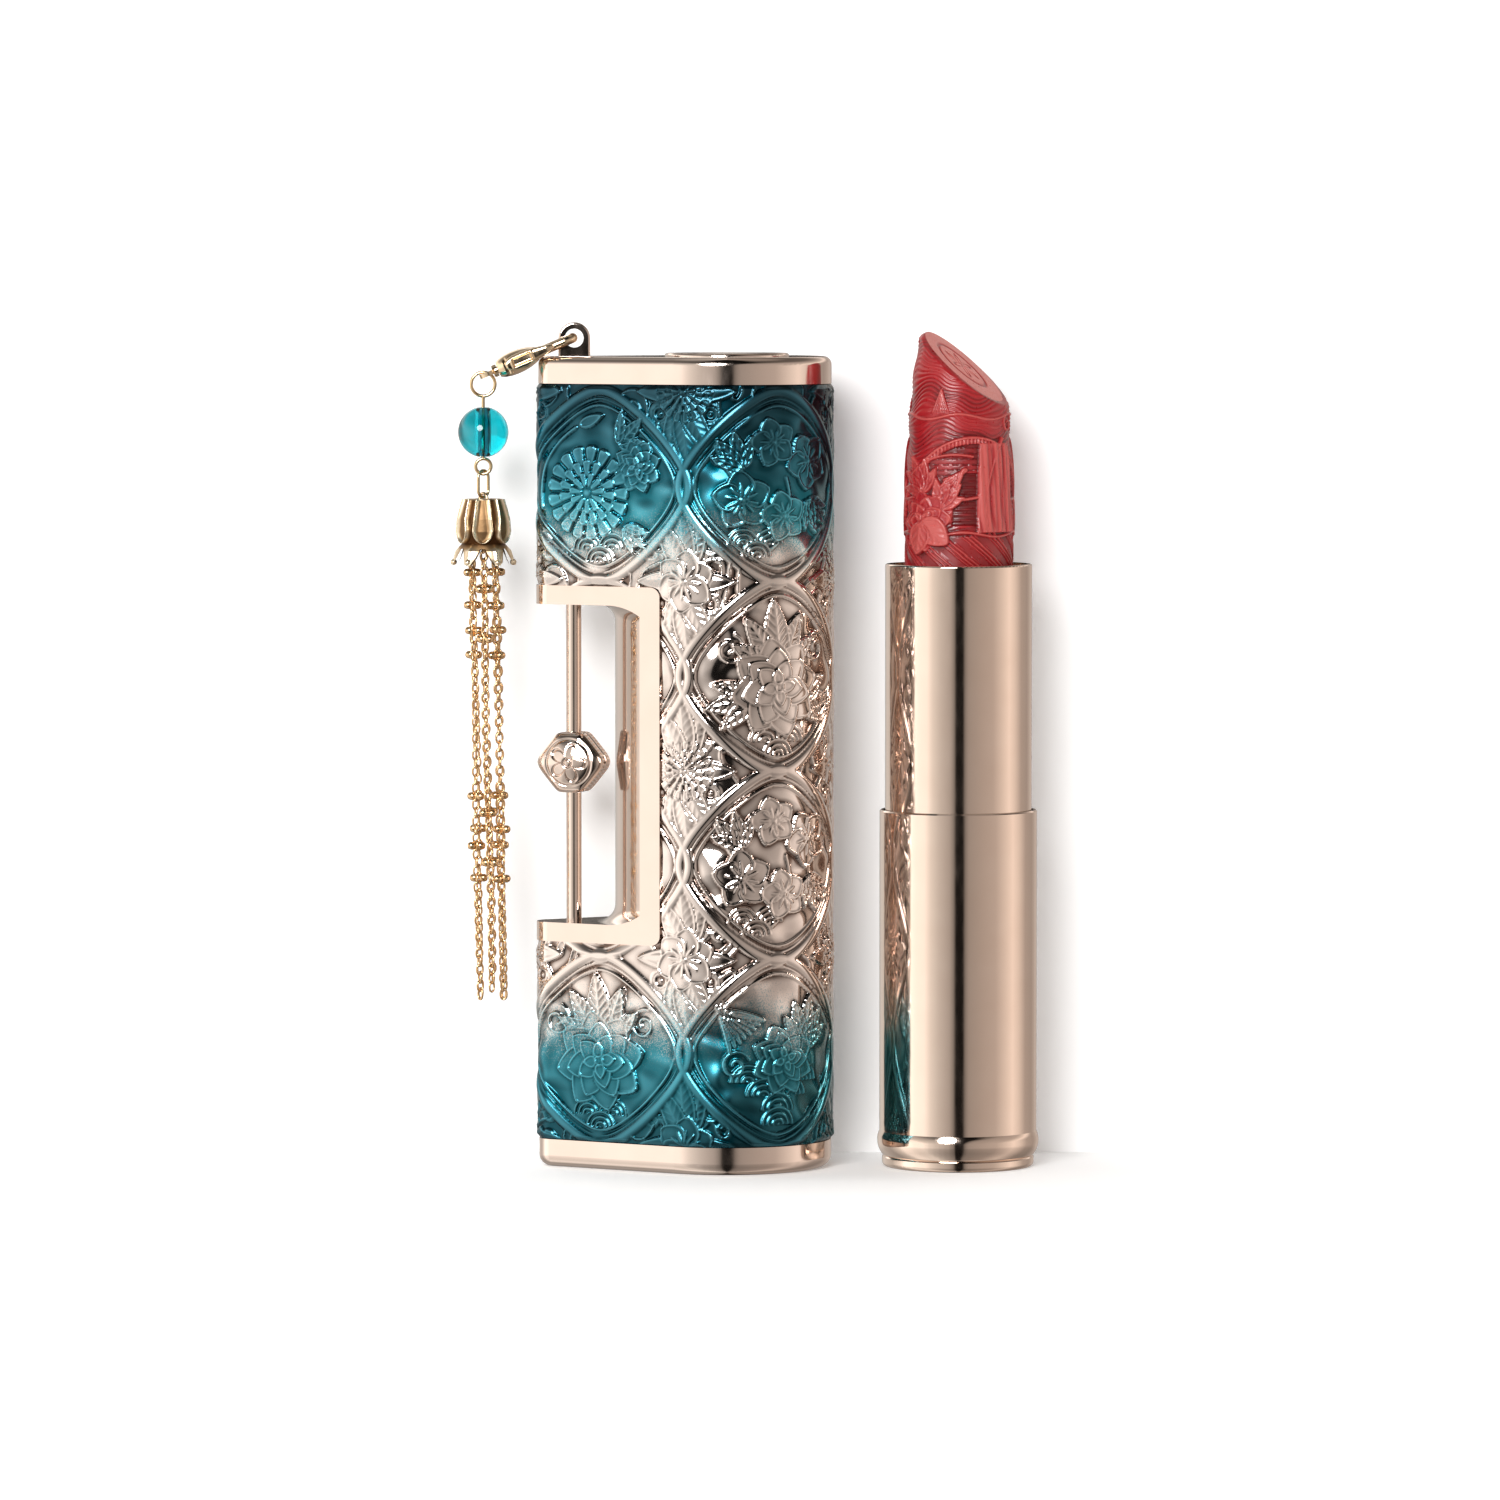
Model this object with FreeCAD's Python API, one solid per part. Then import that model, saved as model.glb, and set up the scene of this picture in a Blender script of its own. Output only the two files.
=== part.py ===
"""Padlock-shaped lipstick case with a hanging tassel charm, and its lipstick standing beside it.

Millimetres. The origin is the axis of the case's bore, on the plane that both pieces stand on.
+X runs from the case to the lipstick, +Y to the back and +Z up.
"""

import FreeCAD, Part
import math
import os

V = FreeCAD.Vector
UP = V(0, 0, 1)
BACK = V(0, 1, 0)
CENTRE = V(0, 0, 0)
FAR = 40.0  # reaches past the outline of anything it cuts
SLIP = 0.05  # clearance of parts that turn or slide on each other
HAIR = 0.01

# ---- Case outline: a round side on the bore axis, and a small round nose joined to it by flats
ROUND_R = 11.7
NOSE_R = 2.3
NOSE_X = -18.7
CASE_H = 90.0
RING_H = 3.1
CAP_H = 3.0
SHELL_WALL = 0.9
TRIM_INSET = 0.1
BORE_R = 8.9
LINER_R = 10.6
BORE_TOP = 62.9
BORE_LIP = 0.6
RING_ROUND, CAP_ROUND, CAP_SKIRT = 1.3, 0.9, 1.2
MAGNET_LOW, MAGNET_HIGH, MAGNET_T = 5.0, 8.0, 0.9

# ---- Notch: a framed opening through the nose, with a bar and a turning knob
NOTCH_X = -7.4
NOTCH_LOW, NOTCH_HIGH = 25.2, 64.7
NOTCH_BAR_H = 2.1
NOTCH_CORNER_R = 1.05
MIRROR_R = 12.4
FRAME_PROUD = 0.15
OPENING_INSET, OPENING_CORNER_R = 2.2, 2.0
BAR_SEAT = 1.5
GROOVE_R, GROOVE_HALF = 0.6, 0.6
BAR_X, BAR_R = -17.0, 0.85
KNOB_Z = 45.0
KNOB_W, KNOB_H, KNOB_RIM = 7.7, 6.7, 3.2
KNOB_FLAT_W, KNOB_FLAT_H, KNOB_ROUND = 1.45, 0.45, 0.5
DOME_R, DOME_RISE, DOME_SHARE = 9.0, 0.9, 0.9
KNOB_TURN = -17.0

# ---- Push-out button and its plunger
BUTTON_R = 6.9
BUTTON_RISE, BUTTON_BEVEL = 0.35, 0.3
DISH_R, DISH_DEPTH = 60.0, 0.25
FLANGE_OUT, FLANGE_LIFT = 0.7, 0.2
SOCKET_R, SOCKET_DEEP = 1.2, 1.5
STEM_R = 2.0
CAP_PLATE = 1.6
EJECT_FLOOR_LOW, EJECT_FLOOR_HIGH = 65.0, 67.0
FOOT_INSET, FOOT_T, FOOT_GAP = 1.0, 1.2, 0.3
BUSH_WALL, BOSS_WALL, BOSS_H = 1.2, 1.4, 3.0
COIL_R, COIL_WIRE, COIL_TURNS = 4.0, 0.3, 7
COIL_LIFT, COIL_DROP = 0.35, 0.15

# ---- Lipstick
STICK_X = 25.7
BASE_R, BASE_TOP, BASE_WALL = 8.75, 39.7, 0.45
FOOT_R, BULGE_R, BULGE_TOP = 8.45, 8.97, 4.0
BASE_FLOOR, DISC_R, DISC_LOW, DISC_TOP = 0.8, 7.6, 0.1, 0.5
WEIGHT_R, WEIGHT_TOP = 8.1, 9.0
CORE_TOP, TUBE_SEAT, SPIRAL_SEAT = 37.6, 10.5, 13.5
RING_SEAT, FRICTION_TOP, SEAT_RIM = 35.6, 37.4, 0.15
SLEEVE_R, SLEEVE_LOW, SLEEVE_TOP = 8.15, 38.0, 67.0
SPIRAL_R, SPIRAL_IN = 7.65, 7.20
TUBE_R, TUBE_IN = 7.15, 6.55
LUG_R, LUG_Z, TRAVEL, LEAD = 0.75, 56.0, 27.0, 18.0
TUBE_DROP, SPIRAL_DROP, SPIRAL_LIFT = 0.7, 0.9, 0.3
GROOVE_W, GROOVE_OVER = 1.85, 1.5
CUP_R, CUP_LOW, CUP_FLOOR, CUP_TOP = 6.5, 54.0, 55.2, 64.5
BULLET_R, BULLET_LOW = 6.0, 64.6
BULLET_STATIONS = (
    (64.6, 6.0, 0.0), (76.0, 5.85, 0.05), (83.0, 5.6, 0.08), (88.0, 5.15, 0.1), (95.0, 4.2, 0.35),
)
SLANT_ACROSS, SLANT_BACK, SLANT_Z = -0.72, 0.30, 89.3

# ---- Charm: the lug on the cap, the clasp that hangs in it, and the tassel
LUG_X, EYE_Z, EYE_R, EYELET_R, LUG_T = -16.9, 92.0, 1.05, 1.75, 1.2
LUG_SINK, LUG_ROUND = 0.5, 0.2
HOOK_R, HOOK_X = 0.55, -17.1
HOOK_ARM, HOOK_BEND, HOOK_BACK, HOOK_TIP = 1.6, 0.9, 4.6, 2.1
CLASP_DROP = 23.0
BELLY = ((3.9, 2.1, 0.55), (5.2, 2.25, 1.1), (6.8, 2.1, 1.3), (8.0, 1.7, 1.2), (8.95, 1.0, 0.85))
POCKET = ((3.7, 3.0), (8.2, 3.0), (8.2, 0.5), (7.2, 0.45), (3.7, -0.95))
POCKET_HALF = 0.75
LEVER_FACE = ((2.2, 1.15), (2.2, 2.05), (4.9, 2.1), (5.2, 2.5), (5.6, 2.5), (5.9, 2.1))
LEVER_BACK = ((8.0, 1.75), (8.0, 0.75), (4.0, 0.95))
LEVER_HALF, LEVER_BORE = 0.6, 0.34
PIVOT_X, PIVOT_Y, PIVOT_R, PIVOT_HALF = 7.6, 1.2, 0.3, 0.95
LEAF = ((7.1, 0.46), (7.1, 0.60), (5.0, 0.88), (5.0, 0.76))
LEAF_HALF = 0.4
SWIVEL_HEAD_R, SWIVEL_HEAD_T, SWIVEL_STEM_R = 0.68, 0.3, 0.42
SWIVEL_SEAT, SWIVEL_COLLAR, SWIVEL_COLLAR_R, SWIVEL_COLLAR_T = 8.3, 9.05, 0.7, 0.5
SWIVEL_EYE_X, SWIVEL_EYE_R, SWIVEL_HOLE_R, SWIVEL_TAB_T = 10.1, 1.05, 0.65, 0.5
SWIVEL_TAB, SWIVEL_TAB_W = 9.3, 1.4
PIN_X, WIRE_R = -27.0, 0.19
TOP_LOOP_R, TOP_LOOP_Z = 1.32, 86.9
LOW_LOOP_R, LOW_LOOP_Z = 0.85, 77.8
BEAD_R, BEAD_BORE, BEAD_Z = 2.8, 0.6, 81.6
LINK_R, LINK_HALF, LINK_TOP, LINK_LOW = 0.17, 0.75, 77.33, 74.40
CAP_EYE_R, CAP_EYE_GAP = 0.6, 0.07
HUB_R, HUB_LIFT, HUB_TOP, HUB_STEM = 2.2, 0.2, 71.2, 71.0
CAP_OUTSIDE = ((1.0, 74.2), (1.9, 74.2), ((2.06, 74.1), (2.15, 73.9)), ((2.75, 71.8), (2.9, 70.0)))
CAP_LIP = (((2.85, 68.6), (3.35, 66.8)), (3.05, 66.8), ((2.5, 68.6), (2.55, 70.0)))
CAP_INSIDE = (((2.4, 71.8), (1.85, 73.6)), (1.0, 73.85))
STRAND_R, STRAND_RING, STRAND_TOP, STRAND_LEAN = 0.5, 1.5, 70.2, 0.9
STRAND_ENDS = (17.8, 19.8, 18.6, 18.2, 19.2, 18.0)
RONDELLE_R, RONDELLE_H = 0.85, 0.9
RONDELLE_STEPS = (4.6, 10.2, 29.4, 34.8)
RONDELLE_SHIFT = 1.7


# ---------------------------------------------------------------- helpers
def disc(radius, low, high, x=0.0):
    return Part.makeCylinder(radius, high - low, V(x, 0, low))


def pipe(outer, inner, low, high, x=0.0):
    return disc(outer, low, high, x).cut(disc(inner, low, high, x))


def outline(steps):
    """A closed wire through (radius, height) points.

    A step holding two points is an arc: a point on it, then its end."""
    edges = []
    here = V(steps[0][0], 0, steps[0][1])
    for step in steps[1:] + steps[:1]:
        if isinstance(step[0], tuple):
            via, end = (V(x, 0, z) for x, z in step)
            edges.append(Part.Arc(here, via, end).toShape())
        else:
            end = V(step[0], 0, step[1])
            edges.append(Part.makeLine(here, end))
        here = end
    return Part.Wire(edges)


def turned(steps, x=0.0):
    """A solid of revolution about the upright axis at x."""
    solid = Part.Face(outline(steps)).revolve(CENTRE, UP, 360)
    solid.translate(V(x, 0, 0))
    return solid


def rounded(shape, radius, chosen):
    """The shape with a fillet on the edges whose boxes are chosen."""
    return shape.makeFillet(radius, [e for e in shape.Edges if chosen(e.BoundBox)])


def teardrop(offset, low, high):
    """The case's outline, moved outwards by offset, as a prism."""
    lean = (ROUND_R - NOSE_R) / -NOSE_X
    across = math.sqrt(1 - lean * lean)
    big, small = ROUND_R + offset, NOSE_R + offset
    big_back, big_front = V(-big * lean, big * across, low), V(-big * lean, -big * across, low)
    small_back = V(NOSE_X - small * lean, small * across, low)
    small_front = V(NOSE_X - small * lean, -small * across, low)
    edges = [
        Part.Arc(big_front, V(big, 0, low), big_back).toShape(),
        Part.makeLine(big_back, small_back),
        Part.Arc(small_back, V(NOSE_X - small, 0, low), small_front).toShape(),
        Part.makeLine(small_front, big_front),
    ]
    return Part.Face(Part.Wire(edges)).extrude(V(0, 0, high - low))


def notch_block():
    """The space that the notch and its frame take out of the shell."""
    height = NOTCH_HIGH - NOTCH_LOW
    block = Part.makeBox(FAR, FAR, height, V(NOTCH_X - FAR, -FAR / 2, NOTCH_LOW))
    return rounded(block, NOTCH_CORNER_R, lambda b: b.XMin > NOTCH_X - HAIR and b.ZLength < HAIR)


def sweep(path, radius, start, along):
    """A round wire along a path that starts at start."""
    circle = Part.Wire(Part.makeCircle(radius, start, along))
    return Part.Wire(path).makePipeShell([circle], True, True)


def prism(points, low, high):
    """A flat plate with straight sides, between two heights."""
    corners = [V(x, y, low) for x, y in points]
    return Part.Face(Part.makePolygon(corners + corners[:1])).extrude(V(0, 0, high - low))


def rod(radius, length, along, front=0.0, thick=0.0, direction=V(1, 0, 0)):
    """A round rod in the clasp's own axes."""
    return Part.makeCylinder(radius, length, V(along, front, thick), direction)


def in_clasp(shape):
    """From the clasp's own axes (length, front, thickness) to its place in the lug's eye."""
    placed = shape.copy()
    placed.rotate(CENTRE, UP, 180)
    placed.rotate(CENTRE, BACK, -CLASP_DROP)
    placed.translate(V(HOOK_X, 0, EYE_Z))
    return placed


# ---------------------------------------------------------------- case
def outer_shell():
    low, high = RING_H, CASE_H - CAP_H
    wall = teardrop(0, low, high).cut(teardrop(-SHELL_WALL, low, high))
    return wall.cut(notch_block())


def bottom_ring():
    ring = teardrop(-TRIM_INSET, 0, RING_H)
    ring = rounded(ring, RING_ROUND, lambda b: b.ZMax < HAIR)
    return ring.cut(disc(BORE_R, -1, RING_H + 1))


def top_cap():
    low = CASE_H - CAP_H
    cap = teardrop(-TRIM_INSET, low, CASE_H)
    cap = rounded(cap, CAP_ROUND, lambda b: b.ZMin > CASE_H - HAIR)
    cap = cap.cut(teardrop(-CAP_SKIRT, low, CASE_H - CAP_PLATE))
    cap = cap.cut(disc(BUTTON_R + SLIP, low, CASE_H + 1))
    foot_z = CASE_H - LUG_SINK
    cheek = Part.makeCylinder(EYELET_R, LUG_T, V(LUG_X, -LUG_T / 2, EYE_Z), BACK)
    post = Part.makeBox(2 * EYELET_R, LUG_T, EYE_Z - foot_z, V(LUG_X - EYELET_R, -LUG_T / 2, foot_z))
    lug = cheek.fuse(post).removeSplitter()
    lug = rounded(lug, LUG_ROUND, lambda b: b.ZMin > foot_z + HAIR and b.YLength < HAIR)
    eye = Part.makeCylinder(EYE_R, 3 * LUG_T, V(LUG_X, -1.5 * LUG_T, EYE_Z), BACK)
    return cap.fuse(lug).cut(eye).removeSplitter()


def notch_frame():
    block = teardrop(FRAME_PROUD, NOTCH_LOW, NOTCH_HIGH).common(notch_block())
    low, high = NOTCH_LOW + NOTCH_BAR_H, NOTCH_HIGH - NOTCH_BAR_H
    opening = Part.makeBox(FAR, FAR, high - low, V(NOTCH_X - OPENING_INSET - FAR, -FAR / 2, low))
    opening = opening.cut(disc(MIRROR_R, low, high))
    inner_edge = -MIRROR_R
    opening = rounded(
        opening, OPENING_CORNER_R, lambda b: b.ZLength < HAIR and abs(b.XMin - inner_edge) < HAIR
    )
    frame = block.cut(opening).cut(disc(LINER_R, NOTCH_LOW - 1, NOTCH_HIGH + 1))
    seat = disc(BAR_R, low - BAR_SEAT, high + BAR_SEAT, BAR_X)
    return frame.cut(seat)


def lock_bar():
    low, high = NOTCH_LOW + NOTCH_BAR_H - BAR_SEAT, NOTCH_HIGH - NOTCH_BAR_H + BAR_SEAT
    groove = pipe(2 * BAR_R, GROOVE_R, KNOB_Z - GROOVE_HALF, KNOB_Z + GROOVE_HALF, BAR_X)
    return disc(BAR_R, low, high, BAR_X).cut(groove)


def inner_liner():
    liner = pipe(LINER_R, BORE_R, RING_H, BORE_TOP)
    shoulder = pipe(LINER_R, BORE_R - BORE_LIP, BORE_TOP, EJECT_FLOOR_LOW)
    pocket = pipe(LINER_R + 1, LINER_R - MAGNET_T, MAGNET_LOW, MAGNET_HIGH)
    return liner.fuse(shoulder).removeSplitter().cut(pocket)


def magnet_ring():
    return pipe(LINER_R, LINER_R - MAGNET_T, MAGNET_LOW, MAGNET_HIGH)


def guide_bush():
    floor = pipe(LINER_R, STEM_R + SLIP, EJECT_FLOOR_LOW, EJECT_FLOOR_HIGH)
    wall = pipe(LINER_R, LINER_R - BUSH_WALL, EJECT_FLOOR_HIGH, CASE_H - CAP_H)
    boss = pipe(STEM_R + BOSS_WALL, STEM_R + SLIP, EJECT_FLOOR_HIGH, EJECT_FLOOR_HIGH + BOSS_H)
    return floor.fuse([wall, boss]).removeSplitter()


def eject_button():
    plate_low, top = CASE_H - CAP_PLATE, CASE_H + BUTTON_RISE
    under = CASE_H - CAP_H
    head = rounded(disc(BUTTON_R, plate_low, top), BUTTON_BEVEL, lambda b: b.ZMin > top - HAIR)
    head = head.cut(Part.makeSphere(DISH_R, V(0, 0, top - DISH_DEPTH + DISH_R)))
    flange = disc(BUTTON_R + FLANGE_OUT, under + FLANGE_LIFT, plate_low - SLIP)
    neck = disc(BUTTON_R, plate_low - SLIP - HAIR, plate_low + HAIR)
    socket = disc(SOCKET_R, under, under + SOCKET_DEEP)
    return head.fuse([flange, neck]).cut(socket).removeSplitter()


def eject_plunger():
    stem_top = CASE_H - CAP_H + FLANGE_LIFT
    foot_top = EJECT_FLOOR_LOW - FOOT_GAP
    foot = disc(BORE_R - FOOT_INSET, foot_top - FOOT_T, foot_top)
    stem = disc(STEM_R, foot_top - HAIR, stem_top)
    spigot = disc(SOCKET_R, stem_top - HAIR, stem_top + SOCKET_DEEP - FLANGE_LIFT - 2 * SLIP)
    return foot.fuse([stem, spigot]).removeSplitter()


def eject_spring():
    low, high = EJECT_FLOOR_HIGH + COIL_LIFT, CASE_H - CAP_H - COIL_DROP
    helix = Part.makeHelix((high - low) / COIL_TURNS, high - low, COIL_R)
    circle = Part.Wire(Part.makeCircle(COIL_WIRE, V(COIL_R, 0, 0), BACK))
    spring = Part.Wire(helix).makePipeShell([circle], True, True)
    spring.translate(V(0, 0, low))
    return spring


def knob_halves():
    """An octagonal knob with domed faces, in two shells that close round the bar's groove."""
    half_w, half_h = KNOB_W / 2, KNOB_H / 2
    right = [(KNOB_FLAT_W, -half_h), (half_w, -KNOB_FLAT_H), (half_w, KNOB_FLAT_H), (KNOB_FLAT_W, half_h)]
    corners = right + [(-x, z) for x, z in reversed(right)]
    half_rim = KNOB_RIM / 2
    ring = [V(x, -half_rim, z) for x, z in corners]
    block = Part.Face(Part.makePolygon(ring + ring[:1])).extrude(V(0, KNOB_RIM, 0))
    block = rounded(block, KNOB_ROUND, lambda b: b.YLength > 1)
    dome_top = half_rim + DOME_RISE
    cheeks = block.copy()
    for side in (-1, 1):
        ball = Part.makeSphere(DOME_R, V(0, side * (dome_top - DOME_R), 0))
        edge = [V(x * DOME_SHARE, side * half_rim, z * DOME_SHARE) for x, z in corners + corners[:1]]
        slab = Part.Face(Part.makePolygon(edge)).extrude(V(0, side * 2 * DOME_RISE, 0))
        cheeks = cheeks.fuse(slab.common(ball))
    collar_half = GROOVE_HALF - 2 * SLIP
    collar = pipe(2 * BAR_R, GROOVE_R + 1.6 * SLIP, -collar_half, collar_half)
    bore = disc(BAR_R + SLIP, -half_w, half_w).cut(collar)
    knob = cheeks.removeSplitter().cut(bore)
    halves = []
    for side in (-1, 1):
        keep = Part.makeBox(FAR, FAR, FAR, V(-FAR / 2, 0 if side > 0 else -FAR, -FAR / 2))
        half = knob.common(keep)
        half.rotate(CENTRE, UP, KNOB_TURN)
        half.translate(V(BAR_X, 0, KNOB_Z))
        halves.append(half)
    return halves


# ---------------------------------------------------------------- lipstick
def base_shell():
    inside = BASE_R - BASE_WALL
    ease, edge = 0.5, 0.15
    diagonal = ease * (1 - math.sqrt(0.5))
    foot = [
        (0, DISC_TOP), (DISC_R, DISC_TOP), (DISC_R, 0), (FOOT_R - ease, 0),
        ((FOOT_R - diagonal, diagonal), (FOOT_R, ease)), (FOOT_R, 1.05), (FOOT_R - 0.12, 1.2),
        (FOOT_R + 0.05, 1.4),
    ]
    wall = [
        ((BULGE_R, 2.6), (BASE_R, BULGE_TOP)), (BASE_R, BASE_TOP - edge), (BASE_R - edge, BASE_TOP),
        (inside, BASE_TOP), (inside, BASE_FLOOR), (0, BASE_FLOOR),
    ]
    return turned(foot + wall, STICK_X)


def shade_disc():
    return disc(DISC_R - 2 * SLIP, DISC_LOW, DISC_TOP, STICK_X)


def base_weight():
    return disc(WEIGHT_R, BASE_FLOOR, WEIGHT_TOP, STICK_X)


def base_core():
    outer = BASE_R - BASE_WALL - SLIP
    core = disc(outer, WEIGHT_TOP, CORE_TOP, STICK_X)
    core = core.cut(disc(TUBE_R, TUBE_SEAT, FAR, STICK_X))
    core = core.cut(disc(SPIRAL_R + 2 * SLIP, SPIRAL_SEAT, FAR, STICK_X))
    return core.cut(disc(outer - SEAT_RIM, RING_SEAT, FAR, STICK_X))


def friction_ring():
    outer = BASE_R - BASE_WALL - SLIP - SEAT_RIM
    return pipe(outer, SPIRAL_R + 0.6 * SLIP, RING_SEAT, FRICTION_TOP, STICK_X)


def slotted_tube():
    tube = pipe(TUBE_R, TUBE_IN, TUBE_SEAT, SLEEVE_TOP - TUBE_DROP, STICK_X)
    spare = 0.5
    low = LUG_Z - TRAVEL - LUG_R - spare
    high = LUG_Z + LUG_R + spare
    slot_w = 2 * (LUG_R + SLIP)
    slots = Part.makeBox(2 * TUBE_R + 2, slot_w, high - low, V(STICK_X - TUBE_R - 1, -slot_w / 2, low))
    return tube.cut(slots)


def spiral_sleeve():
    """A sleeve with two spiral grooves right through it, half a turn apart."""
    sleeve = pipe(SPIRAL_R, SPIRAL_IN, SPIRAL_SEAT + SPIRAL_LIFT, SLEEVE_TOP - SPIRAL_DROP)
    rise = TRAVEL + 2 * GROOVE_OVER
    low = LUG_Z - TRAVEL - GROOVE_OVER
    start_turn = -(LUG_Z - low) / LEAD * 360
    helix = Part.Wire(Part.makeHelix(LEAD, rise, (SPIRAL_R + SPIRAL_IN) / 2))
    past = 0.25
    near, far, half = SPIRAL_IN - past, SPIRAL_R + past, GROOVE_W / 2
    corners = [V(near, 0, -half), V(far, 0, -half), V(far, 0, half), V(near, 0, half)]
    section = Part.makePolygon(corners + corners[:1])
    cutter = helix.makePipeShell([section], True, True)
    for turn in (0, 180):
        groove_cut = cutter.copy()
        groove_cut.rotate(CENTRE, UP, start_turn + turn)
        groove_cut.translate(V(0, 0, low))
        sleeve = sleeve.cut(groove_cut)
    sleeve.translate(V(STICK_X, 0, 0))
    return sleeve


def sleeve_shell():
    edge = 0.2
    diagonal = 0.3 * edge
    return turned([
        (SPIRAL_R, SLEEVE_LOW), (SLEEVE_R - edge, SLEEVE_LOW), (SLEEVE_R, SLEEVE_LOW + edge),
        (SLEEVE_R, SLEEVE_TOP - edge),
        ((SLEEVE_R - diagonal, SLEEVE_TOP - diagonal), (SLEEVE_R - edge, SLEEVE_TOP)),
        (SPIRAL_R, SLEEVE_TOP),
    ], STICK_X)


def cup():
    reach = SPIRAL_R - SLIP
    hollow = disc(BULLET_R - SLIP, CUP_FLOOR, FAR + CUP_TOP, STICK_X)
    body = disc(CUP_R, CUP_LOW, CUP_TOP, STICK_X).cut(hollow)
    lugs = Part.makeCylinder(LUG_R, 2 * reach, V(STICK_X - reach, 0, LUG_Z), V(1, 0, 0)).cut(hollow)
    return body.fuse(lugs).removeSplitter()


def bullet():
    """Leaning sections: one side draws in under the tip. One slanted cut makes the face."""
    tail = disc(BULLET_R - SLIP, CUP_FLOOR, BULLET_LOW, STICK_X)
    sections = []
    for height, radius, lean in BULLET_STATIONS:
        sections.append(Part.Wire(Part.makeCircle(radius, V(STICK_X + lean, 0, height), UP)))
    stick = Part.makeLoft(sections, True, False)
    normal = V(-SLANT_ACROSS, -SLANT_BACK, 1)
    normal.normalize()
    blade = Part.makeBox(2 * FAR, 2 * FAR, FAR, V(-FAR, -FAR, 0))
    blade.Placement = FreeCAD.Placement(V(STICK_X, 0, SLANT_Z), FreeCAD.Rotation(UP, normal))
    return stick.cut(blade).fuse(tail).removeSplitter()


# ---------------------------------------------------------------- charm
def clasp_body():
    """A hook bent from round wire, run into a hollow belly that holds the lever."""
    arm, bend = HOOK_ARM, HOOK_BEND
    reach = arm - bend
    diagonal = bend * (1 - math.sqrt(0.5))
    path = [
        Part.makeLine(V(HOOK_BACK, -arm, 0), V(bend, -arm, 0)),
        Part.Arc(V(bend, -arm, 0), V(diagonal, -arm + diagonal, 0), V(0, -reach, 0)).toShape(),
        Part.makeLine(V(0, -reach, 0), V(0, reach, 0)),
        Part.Arc(V(0, reach, 0), V(diagonal, arm - diagonal, 0), V(bend, arm, 0)).toShape(),
        Part.makeLine(V(bend, arm, 0), V(HOOK_TIP, arm, 0)),
    ]
    hook = sweep(path, HOOK_R, V(HOOK_BACK, -arm, 0), V(1, 0, 0))
    rings = []
    for along, wide, thick in BELLY:
        oval = Part.Ellipse(V(along, wide, 0), V(along, 0, thick), V(along, 0, 0))
        rings.append(Part.Wire(oval.toShape()))
    belly = Part.makeLoft(rings, True, False)
    body = belly.fuse(hook).cut(prism(POCKET, -POCKET_HALF, POCKET_HALF))
    head = rod(SWIVEL_HEAD_R + 0.07, SWIVEL_HEAD_T + 2 * SLIP, SWIVEL_SEAT - SLIP)
    throat = rod(SWIVEL_STEM_R + SLIP, 1.2, SWIVEL_SEAT)
    body = body.cut(head).cut(throat).cut(pivot(PIVOT_R))
    return in_clasp(body.removeSplitter())


def pivot(radius):
    """The rod that the lever turns on, in the clasp's own axes."""
    return rod(radius, 2 * PIVOT_HALF, PIVOT_X, PIVOT_Y, -PIVOT_HALF, UP)


def clasp_lever():
    plate = prism(LEVER_FACE + LEVER_BACK, -LEVER_HALF, LEVER_HALF)
    return in_clasp(plate.cut(pivot(LEVER_BORE)))


def lever_pin():
    return in_clasp(pivot(PIVOT_R))


def lever_spring():
    return in_clasp(prism(LEAF, -LEAF_HALF, LEAF_HALF))


def swivel_eye():
    """A headed stem held in the clasp's throat, with a collar and a flat eye outside."""
    head = rod(SWIVEL_HEAD_R, SWIVEL_HEAD_T, SWIVEL_SEAT)
    stem = rod(SWIVEL_STEM_R, 1.2, SWIVEL_SEAT + 2 * SLIP)
    collar = rod(SWIVEL_COLLAR_R, SWIVEL_COLLAR_T, SWIVEL_COLLAR)
    low = -SWIVEL_TAB_T / 2
    tab = Part.makeBox(1.0, SWIVEL_TAB_W, SWIVEL_TAB_T, V(SWIVEL_TAB, -SWIVEL_TAB_W / 2, low))
    ring = rod(SWIVEL_EYE_R, SWIVEL_TAB_T, SWIVEL_EYE_X, 0, low, UP)
    hole = rod(SWIVEL_HOLE_R, 3 * SWIVEL_TAB_T, SWIVEL_EYE_X, 0, 3 * low, UP)
    return in_clasp(head.fuse([stem, collar, tab, ring]).cut(hole).removeSplitter())


def loop(radius, wire, height, turn=0.0):
    ring = Part.makeTorus(radius, wire, CENTRE, BACK)
    ring.rotate(CENTRE, UP, turn)
    ring.translate(V(PIN_X, 0, height))
    return ring


def eye_pin():
    upper = loop(TOP_LOOP_R, WIRE_R, TOP_LOOP_Z)
    lower = loop(LOW_LOOP_R, WIRE_R, LOW_LOOP_Z)
    stem = disc(WIRE_R, LOW_LOOP_Z + LOW_LOOP_R, TOP_LOOP_Z - TOP_LOOP_R, PIN_X)
    return stem.fuse([upper, lower]).removeSplitter()


def glass_bead():
    ball = Part.makeSphere(BEAD_R, V(PIN_X, 0, BEAD_Z))
    return ball.cut(disc(BEAD_BORE, BEAD_Z - 2 * BEAD_R, BEAD_Z + 2 * BEAD_R, PIN_X))


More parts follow.
